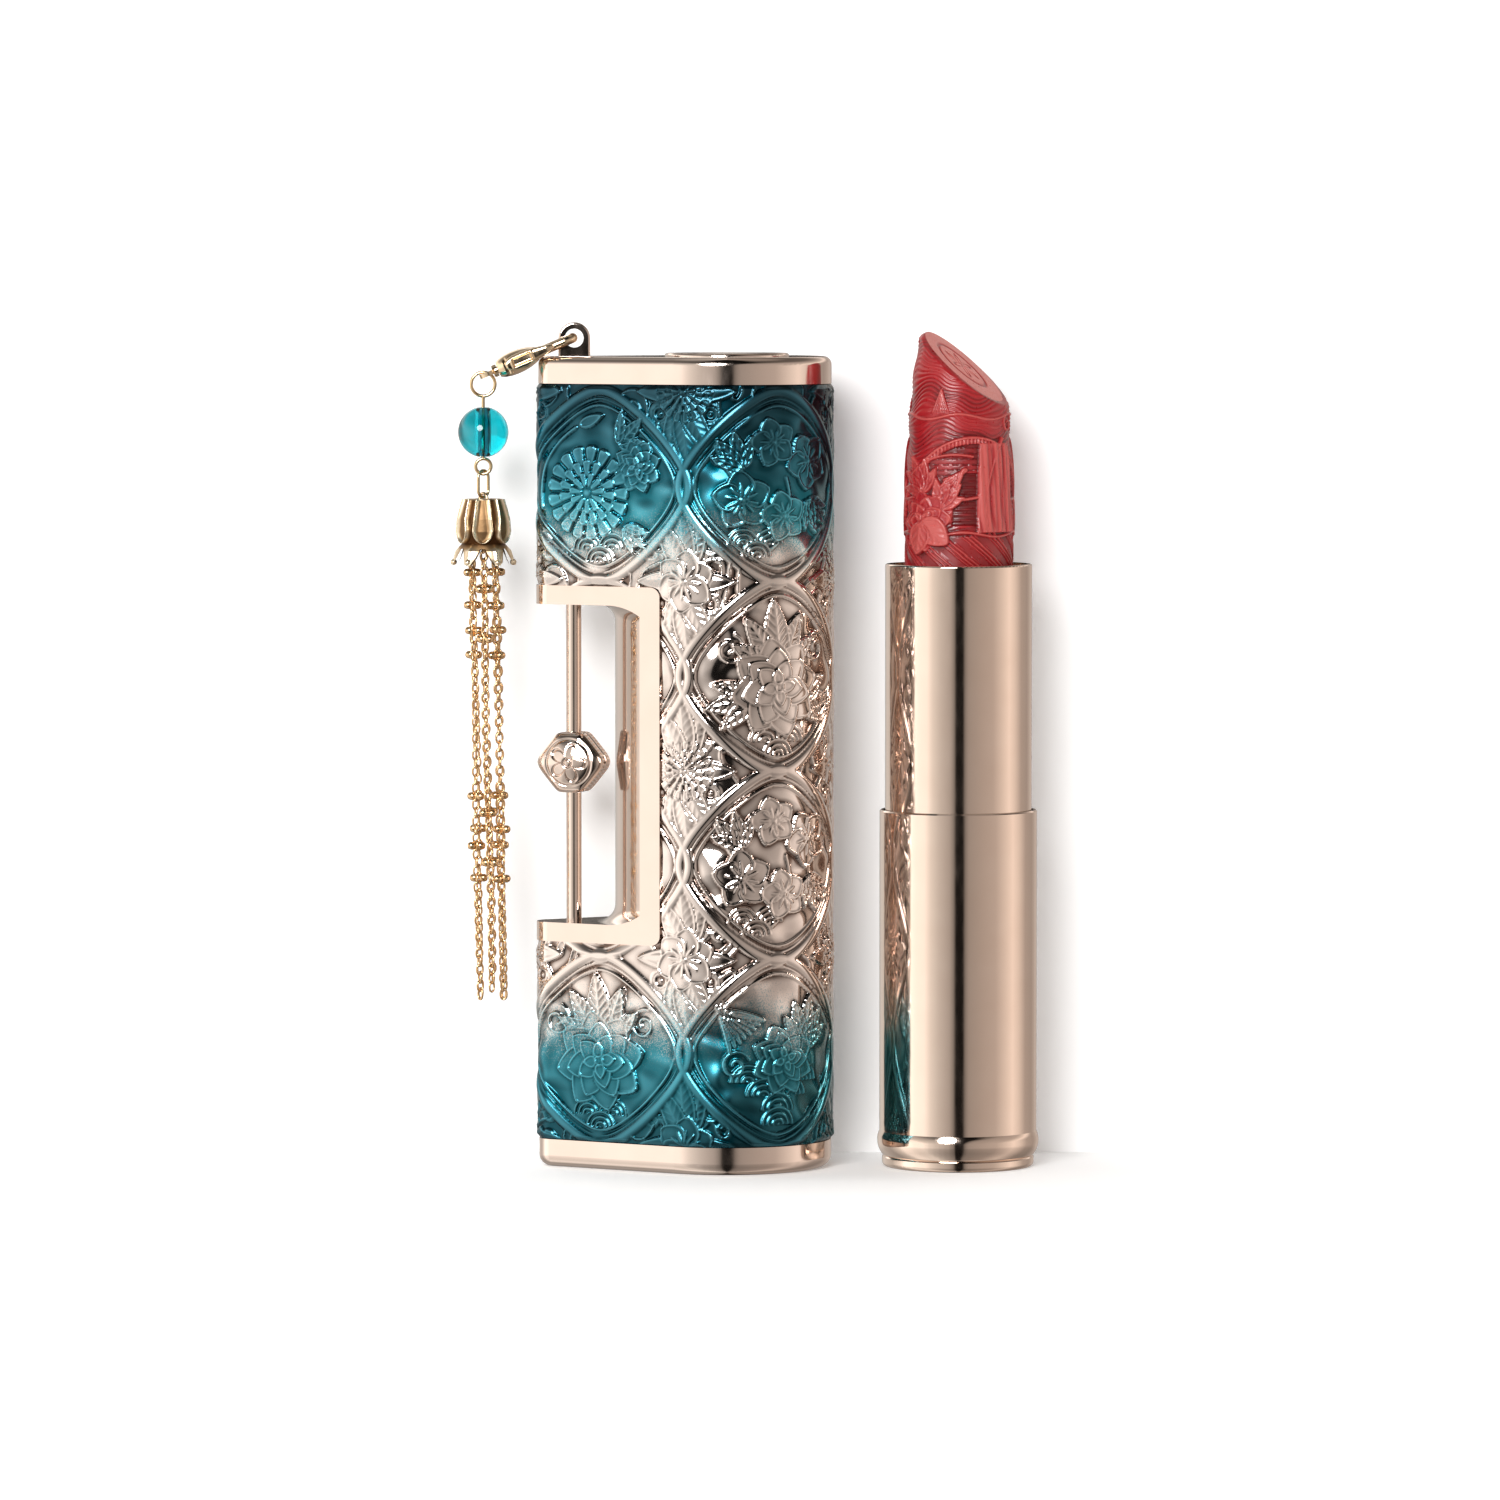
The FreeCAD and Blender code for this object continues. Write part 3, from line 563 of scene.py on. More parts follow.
def chrysanthemum(relief, u, z, size):
    """Rings of narrow round-ended petals about a domed centre."""
    rings = ((17, 0.58, 0.42, 0.1), (15, 0.34, 0.36, 0.16), (11, 0.12, 0.32, 0.22))
    for count, inner, length, level in rings:
        wide = TAU * (inner + length * 0.75) * size / count
        relief.ring_of_petals(
            u, z, count, length * size, wide, inner * size, count,
            level=level, dome=0.16, line=0.1, blunt=True,
        )
    relief.dome(u, z, size * 0.16, 0.42)


def blossom(relief, u, z, size, turn, count=5):
    """A flat open flower with round petals and a small eye."""
    relief.ring_of_petals(
        u, z, count, size, size * 1.05, size * 0.1, turn, level=0.18, dome=0.08, line=0.17
    )
    relief.ring_of_petals(
        u, z, count * 2, size * 0.5, size * 0.14, size * 0.12, turn, level=0.28, dome=0.08, line=0.02
    )
    relief.dome(u, z, size * 0.18, 0.45)


def peony(relief, u, z, size, turn):
    """A full flower: rings of broad veined petals that close over each other."""
    for ring, (count, reach) in enumerate(((8, 1.0), (7, 0.76), (5, 0.54), (4, 0.34))):
        relief.ring_of_petals(
            u, z, count, reach * size, reach * size * 0.85, 0.05 * size, turn + ring * 0.5,
            level=0.12 + 0.05 * ring, dome=0.14, line=0.15,
        )
    relief.dome(u, z, size * 0.13, 0.45)


def leaf_spray(relief, u, z, angle, size, count, fan=0.5, veins=0.1):
    """Veined leaves that fan out from one point."""
    for k in range(count):
        turn = angle + (k - (count - 1) / 2) * fan
        long = size * (1 - 0.12 * abs(k - (count - 1) / 2))
        relief.petal(
            u, z, turn, long, long * 0.42, level=0.1, dome=0.24 - veins, line=0.16, veins=veins, bend=0.08
        )


def feather(relief, u, z, angle, size, count, hand=1):
    """Long thin blades one beside the other, like a wing or a reed bed."""
    for k in range(count):
        out = 0.12 * size * k
        foot = (u + out * math.cos(angle - hand), z + out * math.sin(angle - hand))
        relief.petal(
            *foot, angle + hand * k * 0.16, size * (1 - 0.05 * k), size * 0.19,
            level=0.12, dome=0.12, line=0.12, bend=0.1 * hand, blunt=True,
        )


def waves(relief, u, z, wide, rows, radius):
    """Rows of overlapping ringed scales, like a stylised sea."""
    for row in range(rows):
        count = max(int(wide / (radius * 1.7)) - row, 1)
        for k in range(count):
            at = u + (k - (count - 1) / 2) * radius * 1.7
            relief.ripples(at, z + (rows - 1 - row) * radius * 0.75, radius, radius * 0.3, 0.22)


def medallion_field(relief, centre_u, centre_z, wide, high):
    """Zero on the rim of a rounded diamond, below zero inside it."""
    gap = (relief.across - centre_u + GIRTH / 2) % GIRTH - GIRTH / 2
    x, y = np.meshgrid(gap / wide, (relief.up - centre_z) / high)
    x, y = (np.sqrt(v * v + TIP_ROUNDING) - math.sqrt(TIP_ROUNDING) * 0.35 for v in (x, y))
    return (x**1.25 + y**1.25) ** (1 / 1.25) - 1.06


def daisy_garden(relief, u, z, hand):
    """A big chrysanthemum with a peony beside it, over waves."""
    leaf_spray(relief, u + hand * 2.4, z + 4.6, math.pi / 2 - 0.9 * hand, 4.4, 3, 0.7)
    relief.petal(u - hand * 2.6, z + 6.6, math.pi / 2 - hand * 1.2, 3.4, 1.4, level=0.1)
    waves(relief, u, z - 8.4, 9.0, 2, 1.9)
    relief.stroke(arch((u - hand * 7.6, z - 2.5), (u - hand * 3.0, z + 6.4), 0.16 * hand), 0.5, 0.24)
    leaf_spray(relief, u + hand * 3.2, z - 4.4, -0.8 if hand > 0 else math.pi + 0.8, 3.8, 3)
    peony(relief, u + hand * 4.9, z + 2.2, 2.9, 0.3)
    chrysanthemum(relief, u - hand * 1.5, z - 0.8, 5.2)


def blossom_branch(relief, u, z, hand):
    """Four blossoms on a bowed branch."""
    relief.stroke(arch((u - hand * 7.6, z - 3.0), (u + hand * 7.0, z + 4.5), -0.2 * hand), 0.9, 0.3)
    relief.stroke(arch((u - hand * 1.0, z + 1.0), (u + hand * 2.0, z - 7.6), 0.2), 0.6, 0.26)
    leaf_spray(relief, u - hand * 4.2, z - 1.4, -math.pi / 2 - 0.5 * hand, 4.4, 4)
    leaf_spray(relief, u + hand * 4.2, z + 2.0, math.pi / 2 - 0.4 * hand, 4.6, 4)
    waves(relief, u + hand * 2.6, z - 7.6, 7.0, 2, 1.8)
    for du, dz, size in ((-4.2, 2.8, 3.0), (0.6, 4.9, 2.6), (4.2, -1.4, 3.1), (-0.7, -3.2, 2.7)):
        blossom(relief, u + hand * du, z + dz, size, du)
    relief.stroke(curl(u + hand * 6.8, z + 3.4, 1.2, 0.5, 1.2, hand), 0.36, 0.2)


def peony_by_the_sea(relief, u, z, hand):
    """A peony between a wing of reeds and a fan of leaves, over a deep sea."""
    waves(relief, u, z - 7.8, 13.0, 4, 2.1)
    feather(relief, u - hand * 5.6, z + 0.2, 1.7 if hand > 0 else 1.4, 6.4, 8, hand)
    leaf_spray(relief, u + hand * 3.4, z + 0.6, 1.3, 6.0, 5, 0.42)
    peony(relief, u + hand * 0.8, z - 0.6, 3.9, 0.4)
    relief.stroke(curl(u - hand * 5.0, z - 1.2, 1.7, 0.4, 1.4, hand), 0.42, 0.26)


def great_peony(relief, u, z, hand):
    """One large peony with leaves above and to both sides."""
    leaf_spray(relief, u, z + 0.6, math.pi / 2, 8.0, 5, 0.5)
    leaf_spray(relief, u - hand * 2.5, z - 2.5, math.pi + 0.1, 6.0, 3)
    leaf_spray(relief, u + hand * 2.5, z - 2.5, -0.1, 6.0, 3)
    waves(relief, u, z - 8.6, 9.0, 2, 1.9)
    for side in (-1, 1):
        relief.stroke(curl(u + side * 5.6, z + 3.0, 1.8, 1.2, 1.4, side), 0.42, 0.26)
    peony(relief, u, z - 1.2, 5.4, 0.2)


GARDENS = (
    (great_peony, peony_by_the_sea, blossom_branch, daisy_garden),
    (peony_by_the_sea, blossom_branch, great_peony, blossom_branch),
    (blossom_branch, daisy_garden, peony_by_the_sea, great_peony),
    (daisy_garden, great_peony, blossom_branch, peony_by_the_sea),
)


def cloud(relief, u, z, size, hand):
    """A puff of three round lobes, each with a ring inside it."""
    for du, dz, share in ((-0.75, 0.0, 0.85), (0.7, -0.1, 0.75), (0.0, 0.55, 1.0)):
        centre = (u + hand * du * size, z + dz * size)
        relief.dome(*centre, share * size, 0.22, line=0.08)
        relief.ripples(*centre, share * size * 0.62, share * size * 0.5, 0.2, spread=math.pi)


def between(relief, u, z, kind):
    """What fills the space where four medallions meet."""
    for k in range(4):
        angle = math.pi / 4 + k * math.pi / 2
        hand = 1 if k % 2 else -1
        cloud(relief, u + 4.3 * math.cos(angle), z + 4.6 * math.sin(angle), 1.5, hand)
    for side in (-1, 1):
        leaf_spray(relief, u, z + side * 1.0, side * math.pi / 2, 7.6, 3, 0.44, veins=0.03)
        relief.petal(u, z, (1 - side) * math.pi / 2, 6.0, 2.4, level=0.12, dome=0.22)
    if kind % 2:
        chrysanthemum(relief, u, z, 3.4)
    else:
        blossom(relief, u, z, 3.3, 0.4, 6)


def cloud_field(relief, lumps):
    """A smooth wandering field that closes on itself round the case."""
    u, z = np.meshgrid(relief.across * TAU / GIRTH, relief.up)
    value = np.zeros_like(u)
    for round_waves, up_wave, phase in lumps:
        value += np.sin(round_waves * u + up_wave * z + phase + 0.8 * np.sin(0.5 * up_wave * z - 3 * u))
    return value


def relief_heights(relief):
    """The whole pattern of the shell: gardens, the lattice of bands and the spaces between."""
    relief.terraces(cloud_field(relief, ((8, 0.35, 0.3), (-6, 0.5, 1.1), (10, -0.3, 2.0))), 0.7, 0.16, 0.2)
    ground = 0.07 * cloud_field(relief, ((19, 0.6, 0.5), (-14, 1.1, 0.2), (9, 1.6, 1.4)))
    centres = []
    for column in range(COLUMNS):
        for row in range(ROWS):
            u = FIRST_SEAM + (column - 0.5) * PITCH_U
            z = LOWEST_ROW + row * PITCH_Z
            centres.append((u % GIRTH, z))
            between(relief, u + PITCH_U / 2, z + PITCH_Z / 2, column + row)
        between(relief, u + PITCH_U / 2, LOWEST_ROW - PITCH_Z / 2, column)
    for k, (u, z) in enumerate(centres):
        field = medallion_field(relief, u, z, PITCH_U * 0.5, PITCH_Z * 0.48)
        outside = relief.heights.copy()
        relief.fill(field < 0, ground)
        column, row = divmod(k, ROWS)
        GARDENS[column][row](relief, u, z, 1 if (column + row) % 2 else -1)
        relief.fill(field >= 0, outside)
        relief.level_line(field + 0.16, 0.42, 0.26)
    for u, z in centres:
        field = medallion_field(relief, u, z, PITCH_U * 0.5, PITCH_Z * 0.48)
        relief.level_line(field + 0.09, 0.3, 0.2)
        relief.level_line(field, 1.35, 0.42)


def relief_shell():
    """The skin of the case in relief, open where the notch frame sits, with its edges turned in."""
    across = np.linspace(0, GIRTH, int(GIRTH / GRID), endpoint=False)
    up = np.linspace(SHELL_LOW[2], SHELL_HIGH[2], int((SHELL_HIGH[2] - SHELL_LOW[2]) / GRID))
    relief = Relief(across, up, GIRTH)
    relief_heights(relief)
    point, normal = shell_outline(across)
    margin = np.clip(np.minimum(up - up[0], up[-1] - up) / 0.5, 0, 1)[:, None]
    beside = point[:, 0][None] - FRAME_HIGH[0]
    above = np.maximum(FRAME_LOW[2] - up, up - FRAME_HIGH[2])[:, None]
    away = np.clip(np.maximum(beside, above) / FRAME_EASE, 0, 1)
    margin = margin * (FRAME_SHARE + (1 - FRAME_SHARE) * away)
    rise = BASE_DEPTH + relief.heights * margin
    proud = proudness(relief.heights, int(0.4 / GRID), 0.26)
    proud = np.concatenate([proud[:1], proud, proud[-1:]])
    turned_in = [np.full(len(across), TURNED_IN)]
    rise = np.concatenate([turned_in, rise, turned_in])
    up = np.concatenate([up[:1], up, up[-1:]])
    points = np.empty((len(up), len(across), 3))
    points[..., :2] = point + normal * rise[..., None]
    points[..., 2] = up[:, None]
    faces = quads(len(up), len(across))
    corner = points.reshape(-1, 3)[faces]
    hidden = (
        (corner[..., 0].max(1) < FRAME_HIGH[0] - UNDER_FRAME)
        & (corner[..., 2].min(1) > FRAME_LOW[2] + UNDER_FRAME)
        & (corner[..., 2].max(1) < FRAME_HIGH[2] - UNDER_FRAME)
    )
    shape = (points.reshape(-1, 3), faces[~hidden])
    piece("relief_shell", shape, "case", "enamelled_relief", "outer_shell", proud=proud)


# ---------------------------------------------------------------- the lipstick bullet

STICK_X = 25.7
BULLET_STATIONS = (
    (64.6, 6.0, 0.0), (76.0, 5.85, 0.05), (83.0, 5.6, 0.08), (88.0, 5.15, 0.1), (95.0, 4.2, 0.35),
)
SLANT_TOP, SLANT_X, SLANT_Y = 89.3, -0.72, 0.30
RELIEF_LIMIT = 0.6
# Proudness given to the whole slanted face: how strongly it is painted with highlight.
FACE_SHINE = 1.35
BULLET_R = 5.8
STRATUM = 0.5
WALL_FOOT, ARCH_CROWN, ARCH_DROP = 74.6, 80.4, 0.077
COURSE, BRICK = 0.62, 1.15
NICHE_FOOT, NICHE_TOP, NICHE_HALF = 71.4, 77.2, 1.9
CLOTH_FOOT, CLOTH_TOP, CLOTH_HALF = 70.6, 80.5, 2.1
HEM_TOP, HEM_STRIPE, HEM_GROUP = 70.4, 0.52, 2.6
LEDGES = ((83.4, 0.3), (74.4, 0.2), (70.4, 0.25))


def bullet_section(z):
    """Radius and sideways lean of the bullet at a height."""
    heights, radii, leans = np.array(BULLET_STATIONS).T
    lean = np.polyval(np.polyfit(heights - 64, leans, 3), z - 64)
    return np.polyval(np.polyfit(heights - 64, radii, 3), z - 64), lean


def brick_arch(relief, side, z):
    """A brick wall under a shallow arch with a milled and lined rim, and a dark niche at its foot."""
    arch_top = ARCH_CROWN - ARCH_DROP * (side - 1.5) ** 2
    course = np.floor(z / COURSE)
    across = np.abs((side / BRICK + 0.5 * course) % 1 - 0.5)
    joint = np.minimum(np.abs(z / COURSE - course - 0.5), across * 1.9)
    bricks = -0.16 + 0.16 * np.clip((0.46 - joint) * 9, 0, 1) - 0.05 * np.cos(side)
    relief.fill((z > WALL_FOOT) & (z < arch_top), bricks)
    ticks = 0.18 + 0.16 * (np.cos(side * TAU / 0.42) > 0)
    relief.fill((z >= arch_top) & (z < arch_top + 0.55), ticks)
    relief.level_line(z - arch_top - 0.7, 0.34, 0.42)
    niche = (np.abs(side - 0.9) < NICHE_HALF - 0.06 * (z - 71)) & (z > NICHE_FOOT) & (z < NICHE_TOP)
    relief.fill(niche, -0.3 + 0.08 * (np.cos(z * TAU / 0.6) > 0.3))


def cloth_and_hem(relief, side, z):
    """A fall of folded cloth, groups of slanting stripes round the foot and three wavy ledges."""
    fall = side - 4.4 - 0.06 * (76 - z) * (1 + 0.1 * np.sin(z))
    cloth = (np.abs(fall) < CLOTH_HALF + 0.09 * (79 - z)) & (z > CLOTH_FOOT) & (z < CLOTH_TOP)
    fold = 0.2 * np.abs(np.cos(fall * 1.9 + 0.5 * np.sin(z * 0.7))) ** 0.6
    relief.fill(cloth, 0.26 + fold + 0.06 * np.cos(fall * 9))
    slant = z + 0.85 * side
    stripe = 0.04 + 0.2 * (np.cos(slant * TAU / HEM_STRIPE) > -0.2) * (slant % HEM_GROUP < 1.45)
    relief.fill(z < HEM_TOP - 0.25 * np.cos(side * 0.7), stripe)
    for ledge, wave in LEDGES:
        relief.level_line(z - ledge - wave * np.sin(side * 0.8 + ledge), 0.36, 0.36)


def bullet_plants(relief, base):
    """Reeds, leaves, scrolls and a peony, placed from one line up the bullet."""
    for k in range(4):
        feet = ((base - 3.4 + 0.3 * k, 83.8), (base - 1.4 - 0.3 * k, 83.8))
        relief.stroke([feet[0], (base - 2.4, 86.4 - 0.5 * k), feet[1]], 0.22, 0.3)
    leaf_spray(relief, base - 4.6, 75.0, 1.9, 4.4, 5, 0.5, 0.06)
    leaf_spray(relief, base - 2.6, 73.4, 0.9, 4.0, 4, 0.42, 0.06)
    feather(relief, base - 2.0, 76.4, 0.3, 3.0, 6)
    relief.stroke(arch((base - 6.0, 77.2), (base + 1.4, 79.0), 0.12), 0.3, 0.4)
    relief.stroke(arch((base + 3.0, 71.0), (base + 5.4, 81.0), 0.1), 0.3, 0.5)
    relief.stroke(curl(base + 6.8, 82.6, 1.2, 0.4, 1.3), 0.3, 0.34)
    peony(relief, base - 4.4, 71.9, 3.3, 0.9)
    relief.petal(base - 4.4, 71.9, -0.7, 4.0, 3.2, level=0.42, dome=0.16, line=0.16, veins=0.06)
    relief.petal(base - 4.6, 71.7, -1.7, 3.6, 3.0, level=0.36, dome=0.16, line=0.16, veins=0.06)


def bullet_relief(across, up):
    """Heights of the bullet's side: wavy strata with a scene laid over them, front and back alike."""
    relief = Relief(across, up, TAU * BULLET_R)
    half = relief.girth / 2
    u, z = np.meshgrid(across, up)
    side = (u + half / 2) % half - half / 2
    strata = z + 0.75 * np.sin(side * 0.55 + 0.3 * z) + 0.22 * np.sin(side * 1.3 - 0.9 * z)
    lines = 0.5 + 0.5 * np.cos(strata * TAU / STRATUM)
    relief.heights = 0.02 + 0.09 * lines**0.5 + 0.1 * np.sin(strata * 1.3)
    brick_arch(relief, side, z)
    cloth_and_hem(relief, side, z)
    for base in (0.0, half):
        bullet_plants(relief, base)
    return relief.heights


def slant_height(angle):
    """Height at which the side of the bullet meets its slanted face."""
    z = np.full_like(angle, SLANT_TOP)
    for _ in range(30):
        radius, lean = bullet_section(z)
        target = SLANT_TOP + SLANT_X * (radius * np.cos(angle) + lean) + SLANT_Y * radius * np.sin(angle)
        z = 0.5 * (z + target)
    return z


def bullet_piece():
    """The moulded bullet: relief side, a small bevel and a smooth slanted face with an oval seal."""
    columns, rows, rings = 420, 300, 60
    angle = np.linspace(0, TAU, columns, endpoint=False)
    foot = BULLET_STATIONS[0][0]
    top = slant_height(angle)
    share = np.linspace(0, 1, rows)[:, None]
    z = foot + (top - foot) * share
    up = np.linspace(foot, top.max(), 400)
    across = ((angle + math.pi / 2) % TAU) * BULLET_R
    order = np.argsort(across)
    heights = np.minimum(bullet_relief(across[order], up), RELIEF_LIMIT)
    sheet = np.empty_like(heights)
    sheet[:, order] = heights
    ridges = np.empty_like(heights)
    # Ridges and higher relief get a higher proudness: the mask for the wax's painted shade and painted
    # highlight.
    ridges[:, order] = np.clip(proudness(heights, 7, 0.5) + 1.1 * (heights - 0.12), 0, 1)
    height = np.stack([np.interp(z[:, k], up, sheet[:, k]) for k in range(columns)], -1)
    ridge = np.stack([np.interp(z[:, k], up, ridges[:, k]) for k in range(columns)], -1)
    radius, lean = bullet_section(z)
    edge = np.clip((top - z) / 0.7, 0, 1)
    bevel = 0.45 * (1 - np.clip((top - z) / 0.45, 0, 1)) ** 2
    reach = radius - 0.16 + height * edge - bevel
    side = np.stack([STICK_X + lean + reach * np.cos(angle), reach * np.sin(angle), z], -1)
    rim = side[-1]
    middle = rim.mean(0)
    inward = np.linspace(1, 0, rings + 1)[1:, None, None]
    face = middle + (rim - middle) * inward
    long, short = face[..., 0] - middle[0], face[..., 1] - middle[1]
    r = np.hypot(long, short / 0.95)
    seal = 0.12 * bell(r - 2.6, 0.16)
    leafy = np.cos(3 * np.arctan2(short, long)) ** 2
    seal += 0.1 * bell(r - 1.7 * leafy, 0.2) * (r < 2.2)
    face[..., 2] -= seal
    # The slanted face gets a flat painted highlight, with painted shade along the seal's lines.
    proud = np.concatenate([ridge, FACE_SHINE - 8.0 * seal])
    points = np.concatenate([side, face])
    shape = (points.reshape(-1, 3), quads(len(points), columns))
    piece("bullet_relief", shape, "bullet_cup", "lipstick_red", "bullet", proud=proud)


# ---------------------------------------------------------------- the knob

KNOB_AT = np.array([-17.0, 0.0, 45.0])
KNOB_TURN = math.radians(-17)
KNOB_HALF_W, KNOB_HALF_H = 3.85, 3.35
KNOB_RIM, KNOB_DOME, KNOB_BEVEL = 1.6, 0.9, 0.25
KNOB_TEETH = 48


def knob_reach(angle):
    """Distance from the middle of the knob to its eight-sided edge, corners eased."""
    c, s = np.abs(np.cos(angle)), np.abs(np.sin(angle))
    chamfer = (0.770 * c + 0.638 * s) / 3.253
    return ((c / KNOB_HALF_W) ** 18 + (s / KNOB_HALF_H) ** 18 + chamfer**18) ** (-1 / 18)


def knob_half(name, side, node):
    """One half of the knob: domed face with a blossom sunk into it, bevel and milled rim."""
    columns = 288
    angle = np.linspace(0, TAU, columns, endpoint=False)
    reach = knob_reach(angle)
    share = np.concatenate([np.linspace(0.0, 0.9, 60), np.linspace(0.91, 1.0, 12)])[:, None]
    r = share * reach
    flat = KNOB_RIM - KNOB_BEVEL
    eased = KNOB_BEVEL * (1 - np.clip((share - 0.86) / 0.14, 0, 1) ** 2)
    face = flat + KNOB_DOME * (1 - share**2) + eased
    petals = 1.75 * np.abs(np.cos(2.5 * angle)) ** 0.6 + 0.35
    line = bell(r - petals, 0.13) + bell(r - 0.45, 0.12)
    face = face - 0.16 * line - 0.12 * bell(r - 2.55, 0.14)
    mill = 0.14 * (0.5 + 0.5 * np.cos(angle * KNOB_TEETH)) ** 2
    rim_share = np.linspace(0, 1, 8)[:, None]
    rim_depth = flat * (1 - rim_share) + 0.12 * rim_share
    rim_r = reach - mill * np.sin(math.pi * np.clip(rim_share * 1.15, 0, 1))
    seam = reach * 0.9 + 0 * rim_share[:1]
    depth = np.concatenate([face, rim_depth + 0 * angle, np.full((1, columns), 0.1)])
    r = np.concatenate([r, rim_r, seam])
    x, y = r * np.cos(angle), -side * depth
    c, s = math.cos(KNOB_TURN), math.sin(KNOB_TURN)
    turned = np.stack([x * c - y * s, x * s + y * c, r * np.sin(angle)], -1)
    faces = quads(len(r), columns)
    if side > 0:
        faces = faces[:, ::-1]
    piece(name, ((turned + KNOB_AT).reshape(-1, 3), faces), "knob", "rose_gold", node)


# ---------------------------------------------------------------- the charm

PIN_X = -27.0
BEAD_Z, BEAD_R, BORE_R = 81.6, 2.8, 0.6


def glass_bead():
    """A round bead with a bore."""
    angle = np.linspace(-1, 1, 60) * math.acos(BORE_R / BEAD_R)
    outer = np.stack([BEAD_R * np.cos(angle), BEAD_R * np.sin(angle)], -1)
    bore = np.stack([np.full(20, BORE_R), np.linspace(outer[-1, 1], outer[0, 1], 22)[1:-1]], -1)
    points, faces = lathe(np.concatenate([outer, bore]), 128)
    piece("bead_glass", (points + [PIN_X, 0, BEAD_Z], faces), "bead", "teal_glass", "glass_bead")


CLASP_AT = np.array([-17.1, 0.0, 92.0])
CLASP_DROP = math.radians(23)
LEVER_ALONG = (2.25, 2.6, 3.4, 4.6, 5.8, 6.8, 7.5, 7.95)
LEVER_HALF = (0.25, 0.42, 0.56, 0.76, 0.88, 0.86, 0.72, 0.35)
LEVER_FRONT, LEVER_BACK, LEVER_SQUARE = 2.48, 1.0, 0.55
WINDOW_FROM, WINDOW_TO, WINDOW_HALF, WINDOW_DEEP = 4.9, 7.1, 0.46, 0.32


def clasp_space(along, front, thick):
    """World points from clasp coordinates: along its length, towards the viewer, and across."""
    c, s = math.cos(CLASP_DROP), math.sin(CLASP_DROP)
    return np.stack([-c * along - s * thick, -front + 0 * along, -s * along + c * thick], -1) + CLASP_AT


def clasp_lever():
    """The thumb lever of the clasp: a tapered bar with a rimmed, sunken window."""
    columns, rows = 72, 120
    turn = np.linspace(0, TAU, columns, endpoint=False)[None]
    share = 0.5 - 0.5 * np.cos(np.linspace(0, math.pi, rows))
    along = LEVER_ALONG[0] + (LEVER_ALONG[-1] - LEVER_ALONG[0]) * share
    half = np.interp(along, LEVER_ALONG, LEVER_HALF)[:, None]
    thick = half * np.sign(np.cos(turn)) * np.abs(np.cos(turn)) ** LEVER_SQUARE
    depth = (LEVER_FRONT - LEVER_BACK) / 2 * np.minimum(1, half / 0.5) ** 0.5
    middle = (LEVER_FRONT + LEVER_BACK) / 2
    front = middle + depth * np.sign(np.sin(turn)) * np.abs(np.sin(turn)) ** LEVER_SQUARE
    along = along[:, None] + 0 * turn
    ends = np.minimum(along - WINDOW_FROM, WINDOW_TO - along)
    edge = np.minimum(ends, WINDOW_HALF - np.abs(thick))
    face = front > middle
    front = front - face * WINDOW_DEEP * np.clip(edge / 0.1, 0, 1)
    front = front + face * 0.1 * bell(edge + 0.1, 0.09) - face * 0.1
    points = clasp_space(along, front, thick)
    faces = quads(rows, columns).tolist()
    faces.append(list(range(columns))[::-1])
    faces.append([(rows - 1) * columns + i for i in range(columns)])
    piece("thumb_lever", (points.reshape(-1, 3), faces), "lever", "charm_gold", "clasp_lever")


LEAF_ROOT, LEAF_TIP = (7.1, 0.53), (5.0, 0.82)
LEAF_T, LEAF_HALF = 0.12, 0.38


def leaf_spring():
    """The strip under the thumb lever, at rest; it does not bend with the lever."""
    share = np.linspace(0, 1, 12)[:, None]
    along = LEAF_ROOT[0] + (LEAF_TIP[0] - LEAF_ROOT[0]) * share
    front = LEAF_ROOT[1] + (LEAF_TIP[1] - LEAF_ROOT[1]) * share**1.2
    up = np.array([-0.5, 0.5, 0.5, -0.5]) * LEAF_T
    across = np.array([-1, -1, 1, 1]) * LEAF_HALF
    points = clasp_space(along + 0 * up, front + up, across + 0 * along)
    faces = quads(len(share), 4).tolist() + [[3, 2, 1, 0], [44, 45, 46, 47]]
    shape = (points.reshape(-1, 3), faces)
    made = piece("leaf_spring", shape, "clasp", "spring_steel", "lever_spring", smooth=False)
    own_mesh(made)


COIL_R, COIL_WIRE, COIL_TURNS = 4.0, 0.3, 7


def coil_spring():
    """The push-out button's spring, with closed ends, at rest; it does not shorten with the button."""
    low, high = (corner[2] for corner in box_mm("eject_spring"))
    low, high = low + COIL_WIRE, high - COIL_WIRE
    t = np.linspace(0, 1, 480)
    rise = np.clip((t - 0.08) / 0.84, 0, 1)
    turn = TAU * COIL_TURNS * t
    path = polar(COIL_R, turn, low + (high - low) * rise)
    made = piece("coil_spring", tube(path, COIL_WIRE, 10), "case", "spring_steel", "eject_spring")
    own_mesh(made)


CAP_TOP, CAP_FOOT, CAP_WALL = 74.2, 66.9, 0.36
CAP_PROFILE = (
    (66.8, 3.3), (67.6, 2.95), (68.6, 2.66), (69.4, 2.62),
    (70.6, 2.8), (72.0, 2.72), (73.2, 2.4), (74.2, 2.1),
)
CAP_LID = ((0.25, 0.3), (1.2, 0.15), (2.1, 0.0), (2.1, 0.1))
CAP_PETALS = 6
PETAL_FOOT, PETAL_ROUND = 69.3, 1.5
PETAL_HALF_TOP, PETAL_HALF = 0.78, 1.16
SEPAL_TOP = 68.9
BALL_R, BALL_RING, BALL_Z = 0.36, 3.3, 67.2


